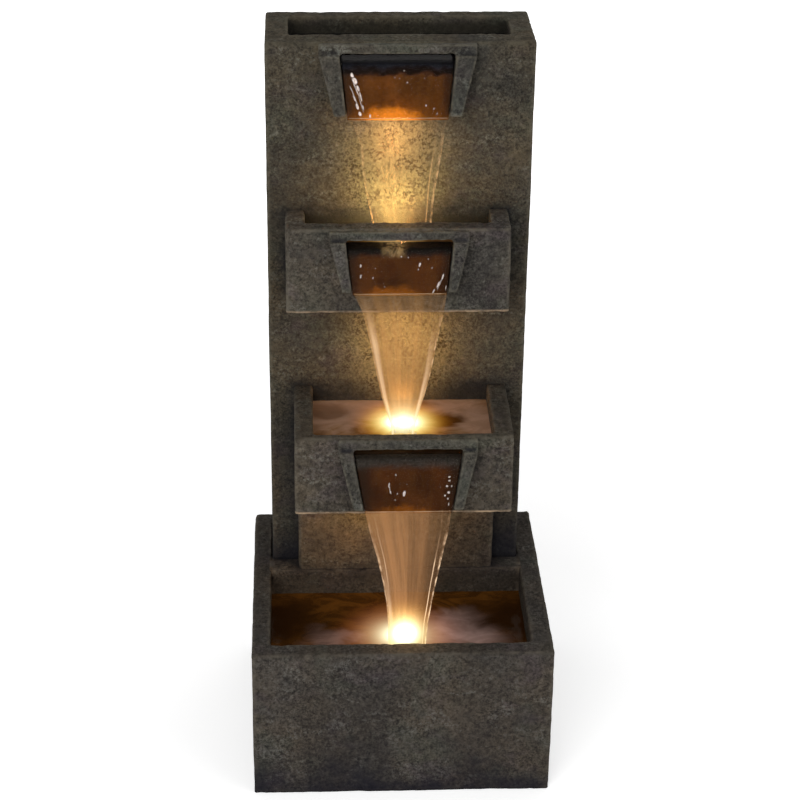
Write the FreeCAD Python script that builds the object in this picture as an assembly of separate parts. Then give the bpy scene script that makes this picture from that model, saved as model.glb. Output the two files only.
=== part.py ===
import FreeCAD, Part
import math
import os

# Four-tier cascade fountain of moulded resin stone, in millimetres.
# X runs to the right seen from the front, Y to the back, Z up.
# The origin is the centre of the basin's underside.
V = FreeCAD.Vector

# Overall size
total_height = 1000.0
basin_width = 410.0
basin_depth = 380.0
basin_height = 228.0

# Basin moulding: a bowl of two skins, open between them from below
basin_front_rim = 28.0
basin_back_rim = 22.0
basin_floor = 14.0
basin_skin = 7.0
basin_rim_cap = 10.0
edge_radius = 3.0

# Tower
tower_x = -2.0
tower_width = 352.0
tower_depth = 133.0
tower_wall = 8.0
reservoir_width = 288.0
reservoir_front_rim = 35.0
reservoir_back_rim = 25.0
reservoir_depth = 70.0
reservoir_floor = 12.0

# Ledge that closes the pump chamber, and the pedestal on it
ledge_reach = 30.0
ledge_wall_thickness = 12.0
ledge_deck_thickness = 14.0
port_width = 62.0
port_height = 14.0
port_rise = 12.0
port_spacing = 190.0
pedestal_x = -2.0
pedestal_width = 277.0
pedestal_reach = 27.0
pedestal_wall = 9.0

# Troughs on the tower's face
middle_trough_x = -5.0
middle_trough_width = 297.0
middle_trough_reach = 70.0
middle_trough_top = 770.0
middle_trough_height = 122.0
middle_trough_front_rim = 25.0
lower_trough_x = 2.0
lower_trough_width = 293.0
lower_trough_reach = 156.0
lower_trough_top = 509.0
lower_trough_height = 118.0
lower_trough_front_rim = 13.0
trough_side_rim = 27.0
trough_floor = 14.0

# Spouts: what the three share
header_reach = 7.0
header_set_down = 1.5
window_height = 12.0
sill_thickness = 11.0
crest_radius = 14.0
chute_slope = 72.0
lip_thickness = 4.0
rib_reach_top = 14.0
rib_cover = 4.0
rib_foot_rise = 2.0

# Spouts: what each one has for itself
upper_spout_x = -6.0
upper_header_height = 15.0
upper_window_width = 149.0
upper_lip_width = 132.0
upper_rib_top = 28.0
upper_rib_foot = 16.5
upper_drop = 65.0
middle_spout_x = -4.0
middle_header_height = 14.0
middle_window_width = 140.0
middle_lip_width = 125.0
middle_rib_top = 22.0
middle_rib_foot = 12.5
middle_drop = 54.0
lower_spout_x = 7.0
lower_header_height = 17.0
lower_window_width = 146.0
lower_lip_width = 118.0
lower_rib_top = 20.0
lower_rib_foot = 14.0
lower_drop = 66.0

# Screws that hold the troughs, driven from inside the tower
trough_screw_radius = 2.5
trough_screw_bite = 18.0
trough_screw_inset = 25.0
trough_screw_head_radius = 5.0
trough_screw_head = 3.5
trough_screw_slot = 0.8

# Rear door, its frame and its thumbscrews
door_width = 200.0
door_height = 180.0
door_sill_rise = 34.0
door_thickness = 6.0
door_gap = 0.4
door_land = 18.0
door_frame_margin = 12.0
door_recess = 15.0
gasket_thickness = 2.0
gasket_margin = 1.5
thumb_head_radius = 7.5
thumb_head_length = 6.0
thumb_shank_radius = 2.5
thumb_tip = 2.0
thumb_knurls = 18
thumb_knurl_radius = 0.7
insert_radius = 4.0
insert_clearance = 0.05
shank_clearance = 0.6
face_gap = 0.2

# Cable outlet in the rear door
outlet_margin = 40.0
outlet_rise = 38.0
grommet_bore_radius = 4.0
grommet_body_radius = 7.0
grommet_flange_radius = 9.8
grommet_flange = 2.5

# Pump: motor, chamber and strainer in a row along X
pump_set_back = 72.0
pump_foot_height = 8.0
pump_foot_radius = 7.0
pump_foot_neck_radius = 3.5
pump_width = 52.0
pump_height = 48.0
pump_edge_radius = 4.0
chamber_length = 24.0
chamber_radius = 17.5
chamber_wall = 5.0
intake_radius = 8.5
spoke_count = 3
spoke_thickness = 2.0
motor_length = 70.0
motor_wall = 2.2
well_depth = 36.0
well_radius = 10.6
well_wall = 1.6
magnet_radius = 9.4
magnet_length = 30.0
shaft_radius = 1.5
shaft_clearance = 0.05
bush_radius = 3.6
bush_length = 4.0
core_gap = 0.6
core_leg_width = 7.0
core_height = 20.0
core_yoke = 7.0
coil_length = 15.0
coil_build = 3.0
impeller_radius = 15.0
impeller_plate = 2.0
impeller_blade_height = 8.0
impeller_blade_thickness = 1.6
impeller_blades = 6
impeller_hub_radius = 4.2
impeller_gap = 1.0
strainer_length = 34.0
strainer_wall = 2.0
strainer_slots = 6
strainer_slot_width = 3.0
strainer_slot_pitch = 5.0
strainer_slot_margin = 8.0
dial_radius = 18.0
dial_thickness = 2.4
dial_tab = 5.0
dial_pin_radius = 2.5
dial_pin_clearance = 0.08
dial_port_radius = 4.0
dial_port_circle = 11.0
dial_ports = 4
outlet_collar_radius = 9.0
outlet_collar_height = 6.0
outlet_bore_radius = 4.2
outlet_stub_radius = 5.0
outlet_stub = 5.0
pump_gland_radius = 4.8
pump_gland_tip_radius = 3.8
pump_gland_height = 12.0
pump_gland_inset = 9.0

# Riser hose, its clamps and the fitting in the reservoir's floor
hose_bore_radius = 6.0
hose_wall = 2.0
spigot_length = 28.0
clamp_band = 1.2
clamp_width = 9.0
clamp_set_back = 4.0
clamp_housing = 8.0
clamp_screw_radius = 3.0
hose_top_gap = 1.0
fitting_thread_radius = 10.0
fitting_hole_clearance = 0.3
fitting_flange_radius = 17.0
fitting_flange = 4.0
fitting_seal = 2.0
fitting_nut_height = 8.0
fitting_mouth = 16.0
fitting_bore_radius = 4.5
fitting_mouth_radius = 7.0

# Pool lights
light_radius = 17.0
light_height = 18.0
light_wall = 2.0
light_floor = 2.5
light_standoff = 3.0
light_ledge = 1.5
lens_thickness = 2.5
lens_crown = 1.5
lens_gap = 0.1
seal_thickness = 1.0
board_thickness = 1.6
board_gap = 0.2
emitter_count = 6
emitter_radius = 2.0
emitter_height = 1.0
emitter_circle = 8.0
bracket_width = 30.0
bracket_drop = 34.0
bracket_thickness = 2.0
bracket_screw_radius = 2.0
bracket_screw_bite = 5.5
bracket_screw_head_radius = 4.0
bracket_screw_head = 2.2
bracket_screw_pitch = 14.0
basin_light_x = 8.0
basin_light_top = 132.0
lower_light_x = 5.0
lower_light_top = 463.0
middle_light_x = 2.0
middle_light_top = 728.0
light_lead_radius = 2.5
light_gland_radius = 4.5
light_gland_rise = 8.0
lead_grommet_radius = 5.5
lead_grommet_flange_radius = 7.5
lead_grommet_flange = 1.5

# Junction box on the tower's left wall
junction_depth = 28.0
junction_width = 64.0
junction_height = 80.0
junction_set_back = 70.0
junction_base = 300.0
junction_wall = 2.5
junction_lid_thickness = 3.0
junction_gland_radius = 6.0
junction_gland_length = 12.0
junction_gland_spacing = 18.0
junction_top_gland_spacing = 30.0
supply_bore_radius = 3.5
pump_lead_radius = 3.0

# Routes of the leads: steps (x, y, z) from where a lead starts, then from where it ends
pump_lead_leaving = [(0.0, 0.0, 34.0), (-22.0, 26.0, 60.0), (-53.0, 33.0, 78.0), (-133.0, 34.0, 98.0)]
pump_lead_arriving = [(26.0, 12.0, -88.0), (0.0, 0.0, -52.0)]
basin_lead_leaving = [(0.0, 38.0, 0.0), (-40.0, 52.0, 14.0), (-98.0, 60.0, 48.0)]
basin_lead_arriving = [(22.0, -14.0, -84.0), (0.0, 0.0, -50.0)]
lower_lead_leaving = [(0.0, 32.0, 0.0), (-40.0, 38.0, 4.0), (-95.0, 40.0, 6.0)]
lower_lead_arriving = [(22.0, -6.0, 57.0), (0.0, 0.0, 35.0)]
middle_lead_leaving = [(0.0, 32.0, 0.0), (-42.0, 40.0, -10.0), (-102.0, 48.0, -34.0)]
middle_lead_to_clips = (14.0, -20.0, 56.0)
middle_lead_above_clips = 34.0
middle_lead_below_clips = 22.0
middle_lead_above_gland = 34.0

# Clips that hold the middle light's lead to the tower's wall
clip_band = 1.5
clip_width = 10.0
clip_count = 3
clip_pitch = 60.0
clip_first_height = 480.0
clip_stand_off = 7.0

# Places worked out from the sizes above
front = -basin_depth / 2
back = basin_depth / 2
tower_front = back - tower_depth
tower_left = tower_x - tower_width / 2
tower_right = tower_x + tower_width / 2
pool_front = front + basin_front_rim
chamber_back = back - basin_back_rim
ledge_front = tower_front - ledge_reach
ledge_inside = ledge_front + ledge_wall_thickness
tower_inside_front = tower_front + tower_wall
reservoir_bottom = total_height - reservoir_depth
cavity_top = reservoir_bottom - reservoir_floor
reservoir_y0 = tower_front + reservoir_front_rim
reservoir_y1 = back - reservoir_back_rim
pump_y = back - pump_set_back
pump_base = basin_floor + pump_foot_height
pump_axis_z = pump_base + pump_height / 2
pump_top = pump_base + pump_height
chamber_x0 = -chamber_length / 2
chamber_x1 = chamber_length / 2
motor_x1 = chamber_x1 + motor_length
strainer_x0 = chamber_x0 - strainer_length
hose_outer_radius = hose_bore_radius + hose_wall
hose_bottom = pump_top + outlet_collar_height
nut_bottom = cavity_top - fitting_nut_height
door_bottom = basin_height + door_sill_rise
door_top = door_bottom + door_height
door_middle = (door_bottom + door_top) / 2
door_seat = back - door_recess
door_inner = door_seat + gasket_thickness
door_outer = door_inner + door_thickness
thumb_x = door_width / 2 - door_land / 2
junction_y = back - junction_set_back
junction_top = junction_base + junction_height
junction_x0 = tower_left + tower_wall
junction_x1 = junction_x0 + junction_depth
gland_x = junction_x0 + junction_depth / 2
outlet_x = tower_x + door_width / 2 - outlet_margin
outlet_z = door_bottom + outlet_rise

parts = {}


# Basic solids

def box(x0, x1, y0, y1, z0, z1):
    return Part.makeBox(x1 - x0, y1 - y0, z1 - z0, V(x0, y0, z0))


def rod(x, y, z, radius, length, axis):
    return Part.makeCylinder(radius, length, V(x, y, z), axis)


X_AXIS = V(1, 0, 0)
Y_AXIS = V(0, 1, 0)
Z_AXIS = V(0, 0, 1)


def tube(x, y, z, outer, inner, length, axis):
    return rod(x, y, z, outer, length, axis).cut(rod(x, y, z, inner, length, axis))


def rounded(shape, radius, upright_only=False):
    """Round the outer edges of a box, but not those of its underside."""
    low = shape.BoundBox.ZMin
    edges = []
    for edge in shape.Edges:
        upright = edge.BoundBox.ZLength > radius
        if upright or (not upright_only and edge.BoundBox.ZMin > low + radius):
            edges.append(edge)
    return shape.makeFillet(radius, edges)


def prism(points, direction):
    wire = Part.makePolygon(points + [points[0]])
    return Part.Face(wire).extrude(direction)


def add(name, shape):
    solid = shape.removeSplitter()
    parts[name] = solid


# Basin, ledge and pedestal

def make_basin():
    outer = rounded(box(-basin_width / 2, basin_width / 2, front, back, 0, basin_height), edge_radius)
    pool = box(tower_left, tower_right, pool_front, chamber_back, basin_floor, basin_height)
    between = box(-basin_width / 2 + basin_skin, basin_width / 2 - basin_skin, front + basin_skin,
                  back - basin_skin, 0, basin_height - basin_rim_cap)
    kept = box(tower_left - basin_skin, tower_right + basin_skin, pool_front - basin_skin,
               chamber_back + basin_skin, 0, basin_height)
    add("basin", outer.cut(pool).cut(between.cut(kept)))


def make_ledge():
    plate = box(tower_left, tower_right, ledge_front, ledge_inside, basin_floor, basin_height)
    deck = box(tower_left, tower_right, ledge_front, tower_inside_front,
               basin_height - ledge_deck_thickness, basin_height)
    wall = plate.fuse(deck)
    for side in (-1, 1):
        x = tower_x + side * port_spacing / 2
        port = box(x - port_width / 2, x + port_width / 2, ledge_front, ledge_inside,
                   basin_floor + port_rise, basin_floor + port_rise + port_height)
        wall = wall.cut(port)
    wall = drill_for_light(wall, basin_light)
    add("ledge_wall", wall)


def make_pedestal():
    x0 = pedestal_x - pedestal_width / 2
    x1 = pedestal_x + pedestal_width / 2
    y0 = tower_front - pedestal_reach
    top = lower_trough_top - lower_trough_height
    outer = rounded(box(x0, x1, y0, tower_front + edge_radius, basin_height, top), edge_radius, True)
    inside = box(x0 + pedestal_wall, x1 - pedestal_wall, y0 + pedestal_wall, back,
                 basin_height + pedestal_wall, top - pedestal_wall)
    behind = box(x0, x1, tower_front, back, basin_height, top)
    add("pedestal_block", outer.cut(inside).cut(behind))


# Tower with the top reservoir

def make_tower():
    shell = rounded(box(tower_left, tower_right, tower_front, back, basin_height, total_height),
                    edge_radius)
    x0 = tower_left + tower_wall
    x1 = tower_right - tower_wall
    shell = shell.cut(box(x0, x1, tower_inside_front, back - tower_wall, basin_height, cavity_top))
    for leg_x in (tower_left, x1):
        leg = box(leg_x, leg_x + tower_wall, tower_inside_front, chamber_back, basin_floor, basin_height)
        shell = shell.fuse(leg)
    half = reservoir_width / 2
    shell = shell.cut(box(tower_x - half, tower_x + half, reservoir_y0, reservoir_y1,
                          reservoir_bottom, total_height))
    shell = shell.cut(window(upper_spout))
    shell = shell.cut(rod(0, pump_y, cavity_top, fitting_thread_radius + fitting_hole_clearance,
                          reservoir_floor, Z_AXIS))
    shell = add_door_frame(shell)
    for light in (lower_light, middle_light):
        shell = drill_for_light(shell, light)
    for x, z in trough_screw_places():
        shell = shell.cut(rod(x, tower_front, z, trough_screw_radius, tower_wall, Y_AXIS))
    add("tower_shell", shell)


def add_door_frame(shell):
    half = door_width / 2
    margin = door_frame_margin
    frame = box(tower_x - half - margin, tower_x + half + margin, chamber_back, back - tower_wall,
                door_bottom - margin, door_top + margin)
    shell = shell.fuse(frame)
    shell = shell.cut(box(tower_x - half, tower_x + half, door_seat, back, door_bottom, door_top))
    shell = shell.cut(box(tower_x - half + door_land, tower_x + half - door_land, chamber_back, door_seat,
                          door_bottom + door_land, door_top - door_land))
    for side in (-1, 1):
        shell = shell.cut(rod(tower_x + side * thumb_x, chamber_back, door_middle, insert_radius,
                              door_seat - chamber_back, Y_AXIS))
    return shell


# Troughs

def make_trough(name, x, width, reach, top, height, front_rim, spout):
    y0 = tower_front - reach
    base = top - height
    # The back corners stay square, so that they meet the tower's face
    outer = rounded(box(x - width / 2, x + width / 2, y0, tower_front + 2 * edge_radius, base, top),
                    edge_radius)
    outer = outer.cut(box(x - width, x + width, tower_front, back, base, top))
    pool = box(x - width / 2 + trough_side_rim, x + width / 2 - trough_side_rim, y0 + front_rim,
               tower_front, base + trough_floor, top)
    shape = outer.cut(pool).cut(window(spout))
    for side in (-1, 1):
        for z in (base + trough_screw_inset, top - trough_screw_inset):
            shape = shape.cut(rod(x + side * (width - trough_side_rim) / 2, tower_front - trough_screw_bite,
                                  z, trough_screw_radius, trough_screw_bite, Y_AXIS))
    add(name, shape)


def trough_screw_places():
    places = []
    troughs = ((middle_trough_x, middle_trough_width, middle_trough_top, middle_trough_height),
               (lower_trough_x, lower_trough_width, lower_trough_top, lower_trough_height))
    for x, width, top, height in troughs:
        for side in (-1, 1):
            for z in (top - height + trough_screw_inset, top - trough_screw_inset):
                places.append((x + side * (width - trough_side_rim) / 2, z))
    return places


def make_trough_screws():
    screws = []
    for x, z in trough_screw_places():
        shank = rod(x, tower_front - trough_screw_bite, z, trough_screw_radius,
                    trough_screw_bite + tower_wall, Y_AXIS)
        head = rod(x, tower_inside_front, z, trough_screw_head_radius, trough_screw_head, Y_AXIS)
        slot = box(x - trough_screw_head_radius, x + trough_screw_head_radius,
                   tower_inside_front + trough_screw_head / 2, tower_inside_front + trough_screw_head,
                   z - trough_screw_slot / 2, z + trough_screw_slot / 2)
        screws.append(shank.fuse(head).cut(slot).removeSplitter())
    parts["trough_screws"] = Part.makeCompound(screws)


# Spouts: a header with two ribs, and the chute between the ribs

class Spout:
    def __init__(self, x, face, wall, rim, header, window_width, lip_width, rib_top, rib_foot, drop):
        self.x = x
        self.face = face
        self.wall = wall
        self.rim = rim
        self.window_width = window_width
        self.lip_width = lip_width
        self.rib_top = rib_top
        self.rib_foot = rib_foot
        self.header_bottom = rim - header
        self.crest = self.header_bottom - window_height
        self.lip = self.crest - drop
        slope = math.radians(chute_slope)
        self.bend_y = face - crest_radius * math.sin(slope)
        self.bend_z = self.crest - crest_radius * (1 - math.cos(slope))
        self.lip_y = self.bend_y - (self.bend_z - self.lip) / math.tan(slope)


def window(spout):
    half = spout.window_width / 2
    return box(spout.x - half, spout.x + half, spout.face, spout.face + spout.wall,
               spout.crest - sill_thickness, spout.header_bottom)


def make_spout_frame(name, spout):
    top_z = spout.header_bottom
    foot_z = spout.lip + rib_foot_rise
    reach = spout.face - spout.lip_y + rib_cover
    side = prism([V(0, spout.face, top_z), V(0, spout.face - rib_reach_top, top_z),
                  V(0, spout.face - reach, foot_z), V(0, spout.face, foot_z)],
                 V(2 * basin_width, 0, 0))
    side.translate(V(-basin_width, 0, 0))
    half_top = spout.window_width / 2
    half_lip = spout.lip_width / 2
    # The inner edge is taken at the rib's own foot, so that it lies on the chute's side
    share = (foot_z - spout.lip) / (top_z - spout.lip)
    half_foot = half_lip + (half_top - half_lip) * share
    header = box(spout.x - half_top - spout.rib_top, spout.x + half_top + spout.rib_top,
                 spout.face - header_reach, spout.face, top_z, spout.rim - header_set_down)
    frame = header
    for turn in (-1, 1):
        outline = [V(spout.x + turn * half_top, spout.face - reach, top_z),
                   V(spout.x + turn * (half_top + spout.rib_top), spout.face - reach, top_z),
                   V(spout.x + turn * (half_foot + spout.rib_foot), spout.face - reach, foot_z),
                   V(spout.x + turn * half_foot, spout.face - reach, foot_z)]
        frame = frame.fuse(prism(outline, V(0, reach, 0)).common(side))
    add(name, frame)


def make_chute(name, spout):
    face = spout.face
    under = spout.lip - lip_thickness
    slope = math.radians(chute_slope)
    middle = V(0, face - crest_radius * math.sin(slope / 2),
               spout.crest - crest_radius * (1 - math.cos(slope / 2)))
    start = V(0, face, spout.crest)
    bend = V(0, spout.bend_y, spout.bend_z)
    lip = V(0, spout.lip_y, spout.lip)
    nose = V(0, spout.lip_y, under)
    foot = V(0, face, under)
    edges = [Part.Arc(start, middle, bend).toShape()]
    for a, b in ((bend, lip), (lip, nose), (nose, foot), (foot, start)):
        edges.append(Part.LineSegment(a, b).toShape())
    block = Part.Face(Part.Wire(edges)).extrude(V(2 * basin_width, 0, 0))
    block.translate(V(-basin_width, 0, 0))
    half_top = spout.window_width / 2
    half_lip = spout.lip_width / 2
    reach = face - spout.lip_y
    outline = [V(spout.x - half_top, face - reach, spout.header_bottom),
               V(spout.x + half_top, face - reach, spout.header_bottom),
               V(spout.x + half_lip, face - reach, spout.lip),
               V(spout.x + half_lip, face - reach, under),
               V(spout.x - half_lip, face - reach, under),
               V(spout.x - half_lip, face - reach, spout.lip)]
    ramp = prism(outline, V(0, reach, 0)).common(block)
    sill = box(spout.x - half_top, spout.x + half_top, face, face + spout.wall,
               spout.crest - sill_thickness, spout.crest)
    add(name, ramp.fuse(sill))


# Rear door, thumbscrews and outlet

def make_door():
    half = door_width / 2 - door_gap
    outer = box(tower_x - half, tower_x + half, door_inner, door_outer,
                door_bottom + door_gap, door_top - door_gap)
    pad_half = door_width / 2 - gasket_margin
    hole_half = door_width / 2 - door_land + gasket_margin
    gasket = box(tower_x - pad_half, tower_x + pad_half, door_seat, door_inner,
                 door_bottom + gasket_margin, door_top - gasket_margin)
    gasket = gasket.cut(box(tower_x - hole_half, tower_x + hole_half, door_seat, door_inner,
                            door_bottom + door_land - gasket_margin, door_top - door_land + gasket_margin))
    inserts = []
    for side, label in ((-1, "left"), (1, "right")):
        x = tower_x + side * thumb_x
        passage = rod(x, door_seat, door_middle, thumb_shank_radius + shank_clearance,
                      door_outer - door_seat, Y_AXIS)
        outer = outer.cut(passage)
        gasket = gasket.cut(passage)
        inserts.append(tube(x, chamber_back, door_middle, insert_radius,
                            thumb_shank_radius + insert_clearance, door_seat - chamber_back, Y_AXIS))
        make_thumbscrew("thumbscrew_" + label, x)
    outer = outer.cut(rod(outlet_x, door_inner, outlet_z, grommet_body_radius, door_thickness, Y_AXIS))
    add("rear_door", outer)
    add("door_gasket", gasket)
    parts["door_inserts"] = Part.makeCompound(inserts)


def make_thumbscrew(name, x):
    y = door_outer + face_gap
    head = rod(x, y, door_middle, thumb_head_radius, thumb_head_length, Y_AXIS)
    for index in range(thumb_knurls):
        angle = 2 * math.pi * index / thumb_knurls
        head = head.cut(rod(x + thumb_head_radius * math.cos(angle), y,
                            door_middle + thumb_head_radius * math.sin(angle),
                            thumb_knurl_radius, thumb_head_length, Y_AXIS))
    shank = rod(x, chamber_back - thumb_tip, door_middle, thumb_shank_radius,
                y - chamber_back + thumb_tip, Y_AXIS)
    add(name, head.fuse(shank))


def make_outlet_grommet():
    start = door_inner - grommet_flange
    length = door_thickness + 2 * grommet_flange
    body = rod(outlet_x, start, outlet_z, grommet_body_radius, length, Y_AXIS)
    for flange_y in (start, door_outer):
        body = body.fuse(rod(outlet_x, flange_y, outlet_z, grommet_flange_radius, grommet_flange, Y_AXIS))
    add("outlet_grommet", body.cut(rod(outlet_x, start, outlet_z, grommet_bore_radius, length, Y_AXIS)))


# Pump

def pump_block(x0, x1):
    half = pump_width / 2
    block = box(x0, x1, pump_y - half, pump_y + half, pump_base, pump_top)
    along = [edge for edge in block.Edges if edge.BoundBox.XLength > (x1 - x0) / 2]
    return block.makeFillet(pump_edge_radius, along)


def along_x(x, radius, length):
    return rod(x, pump_y, pump_axis_z, radius, length, X_AXIS)


def make_pump_motor():
    half = pump_width / 2 - motor_wall
    tall = pump_height / 2 - motor_wall
    face = chamber_x1
    cavity = box(face + motor_wall, motor_x1, pump_y - half, pump_y + half,
                 pump_axis_z - tall, pump_axis_z + tall)
    well_outer = along_x(face, well_radius + well_wall, well_depth + bush_length + well_wall)
    well_inner = along_x(face, well_radius, well_depth)
    bush_seat = along_x(face + well_depth, bush_radius, bush_length)
    cavity = cavity.cut(well_outer)
    housing = pump_block(face, motor_x1).cut(cavity).cut(well_inner).cut(bush_seat)
    add("pump_housing", housing)

    leg_inner = well_radius + well_wall + core_gap
    leg_start = face + motor_wall
    yoke_end = leg_start + magnet_length + coil_length + core_yoke + bush_length
    core = box(leg_start, yoke_end, pump_y - leg_inner - core_leg_width, pump_y + leg_inner + core_leg_width,
               pump_axis_z - core_height / 2, pump_axis_z + core_height / 2)
    core = core.cut(box(leg_start, yoke_end - core_yoke, pump_y - leg_inner, pump_y + leg_inner,
                        pump_axis_z - core_height, pump_axis_z + core_height))
    add("pump_stator_core", core)

    coils = []
    coil_start = yoke_end - core_yoke - coil_length
    for side in (-1, 1):
        y = pump_y + side * (leg_inner + core_leg_width / 2)
        wide = core_leg_width / 2
        high = core_height / 2
        coil = box(coil_start, coil_start + coil_length, y - wide - coil_build, y + wide + coil_build,
                   pump_axis_z - high - coil_build, pump_axis_z + high + coil_build)
        coil = coil.cut(box(coil_start, coil_start + coil_length, y - wide, y + wide,
                            pump_axis_z - high, pump_axis_z + high))
        coils.append(coil.cut(well_outer))
    parts["pump_coils"] = Part.makeCompound(coils)

    potting = cavity.cut(core)
    for coil in coils:
        potting = potting.cut(coil)
    add("pump_potting", potting)


def make_pump_rotor():
    face = chamber_x1
    magnet_start = face + (well_depth - magnet_length) / 2
    bore = shaft_radius + shaft_clearance
    magnet = tube(magnet_start, pump_y, pump_axis_z, magnet_radius, bore, magnet_length, X_AXIS)
    add("pump_rotor_magnet", magnet)

    plate_start = face - impeller_plate - impeller_gap
    blade_start = plate_start - impeller_blade_height
    wheel = along_x(plate_start, impeller_radius, impeller_plate)
    for index in range(impeller_blades):
        angle = 2 * math.pi * index / impeller_blades
        reach = impeller_radius - impeller_hub_radius / 2
        blade = box(blade_start, plate_start, pump_y + impeller_hub_radius / 2,
                    pump_y + impeller_hub_radius / 2 + reach,
                    pump_axis_z - impeller_blade_thickness / 2, pump_axis_z + impeller_blade_thickness / 2)
        blade.rotate(V(0, pump_y, pump_axis_z), X_AXIS, math.degrees(angle))
        wheel = wheel.fuse(blade.common(along_x(blade_start, impeller_radius, impeller_blade_height)))
    hub = along_x(blade_start, impeller_hub_radius, magnet_start - blade_start)
    wheel = wheel.fuse(hub).cut(along_x(blade_start, bore, magnet_start - blade_start))
    add("pump_impeller", wheel)

    shaft_start = chamber_x0 + chamber_wall - bush_length
    shaft_end = face + well_depth + bush_length
    add("pump_shaft", along_x(shaft_start, shaft_radius, shaft_end - shaft_start))
    front_bush = tube(shaft_start, pump_y, pump_axis_z, bush_radius, shaft_radius, bush_length, X_AXIS)
    rear_bush = tube(face + well_depth, pump_y, pump_axis_z, bush_radius, shaft_radius, bush_length, X_AXIS)
    parts["pump_bushes"] = Part.makeCompound([front_bush, rear_bush])


def make_pump_chamber():
    block = pump_block(chamber_x0, chamber_x1)
    block = block.cut(along_x(chamber_x0 + chamber_wall, chamber_radius, chamber_length - chamber_wall))
    block = block.cut(along_x(chamber_x0, intake_radius, chamber_wall))
    hub = along_x(chamber_x0, bush_radius + spoke_thickness, chamber_wall)
    for index in range(spoke_count):
        spoke = box(chamber_x0, chamber_x0 + chamber_wall, pump_y, pump_y + intake_radius + spoke_thickness,
                    pump_axis_z - spoke_thickness / 2, pump_axis_z + spoke_thickness / 2)
        spoke.rotate(V(0, pump_y, pump_axis_z), X_AXIS, 360.0 / spoke_count * index)
        hub = hub.fuse(spoke)
    block = block.fuse(hub)
    block = block.cut(along_x(chamber_x0 + chamber_wall - bush_length, bush_radius, bush_length))
    block = block.cut(rod(0, pump_y, pump_axis_z, outlet_stub_radius, pump_height, Z_AXIS).cut(
        along_x(chamber_x0, impeller_radius, chamber_length)))
    add("pump_chamber", block)

    stub = rod(0, pump_y, pump_top - outlet_stub, outlet_stub_radius, outlet_stub, Z_AXIS)
    collar = rod(0, pump_y, pump_top, outlet_collar_radius, outlet_collar_height, Z_AXIS)
    spigot = rod(0, pump_y, hose_bottom, hose_bore_radius, spigot_length, Z_AXIS)
    length = outlet_stub + outlet_collar_height + spigot_length
    bore = rod(0, pump_y, pump_top - outlet_stub, outlet_bore_radius, length, Z_AXIS)
    add("pump_outlet", stub.fuse(collar).fuse(spigot).cut(bore))


def make_strainer():
    end = chamber_x0 - face_gap
    shell = pump_block(strainer_x0, end)
    half = pump_width / 2 - strainer_wall
    tall = pump_height / 2 - strainer_wall
    shell = shell.cut(box(strainer_x0 + strainer_wall, end, pump_y - half, pump_y + half,
                          pump_axis_z - tall, pump_axis_z + tall))
    middle_x = (strainer_x0 + end) / 2
    for index in range(strainer_slots):
        x = middle_x + (index - (strainer_slots - 1) / 2) * strainer_slot_pitch
        shell = shell.cut(box(x - strainer_slot_width / 2, x + strainer_slot_width / 2,
                              pump_y - pump_width, pump_y + pump_width,
                              pump_base + strainer_slot_margin, pump_top - strainer_slot_margin))
    shell = shell.cut(along_x(strainer_x0, dial_pin_radius + dial_pin_clearance, strainer_wall))
    shell = shell.cut(port_ring(strainer_x0, strainer_wall))
    add("pump_strainer", shell)

    dial_start = strainer_x0 - face_gap - dial_thickness
    dial = along_x(dial_start, dial_radius, dial_thickness)
    tab = box(dial_start, dial_start + dial_thickness, pump_y - dial_tab / 2, pump_y + dial_tab / 2,
              pump_axis_z, pump_axis_z + dial_radius + dial_tab)
    dial = dial.fuse(tab).cut(port_ring(dial_start, dial_thickness))
    pin_length = dial_thickness + face_gap + 2 * strainer_wall
    dial = dial.fuse(along_x(dial_start, dial_pin_radius, pin_length))
    add("pump_flow_dial", dial)


def port_ring(x, length):
    ports = []
    for index in range(dial_ports):
        angle = math.pi / 4 + 2 * math.pi * index / dial_ports
        ports.append(rod(x, pump_y + dial_port_circle * math.cos(angle),
                         pump_axis_z + dial_port_circle * math.sin(angle),
                         dial_port_radius, length, X_AXIS))
    return Part.makeCompound(ports)


def make_pump_feet():
    feet = []
    inset = pump_foot_radius + pump_edge_radius / 2
    for x in (chamber_x0 + inset, motor_x1 - inset):
        for side in (-1, 1):
            y = pump_y + side * (pump_width / 2 - inset)
            cup = Part.makeCone(pump_foot_radius, pump_foot_neck_radius, pump_foot_height / 2,
                                V(x, y, basin_floor), Z_AXIS)
            neck = rod(x, y, basin_floor + pump_foot_height / 2, pump_foot_neck_radius,
                       pump_foot_height / 2, Z_AXIS)
            feet.append(cup.fuse(neck).removeSplitter())
    parts["pump_feet"] = Part.makeCompound(feet)


def make_pump_gland():
    x = motor_x1 - pump_gland_inset
    gland = Part.makeCone(pump_gland_radius, pump_gland_tip_radius, pump_gland_height,
                          V(x, pump_y, pump_top), Z_AXIS)
    add("pump_gland", gland)


# Riser hose and the fitting at its top

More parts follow.
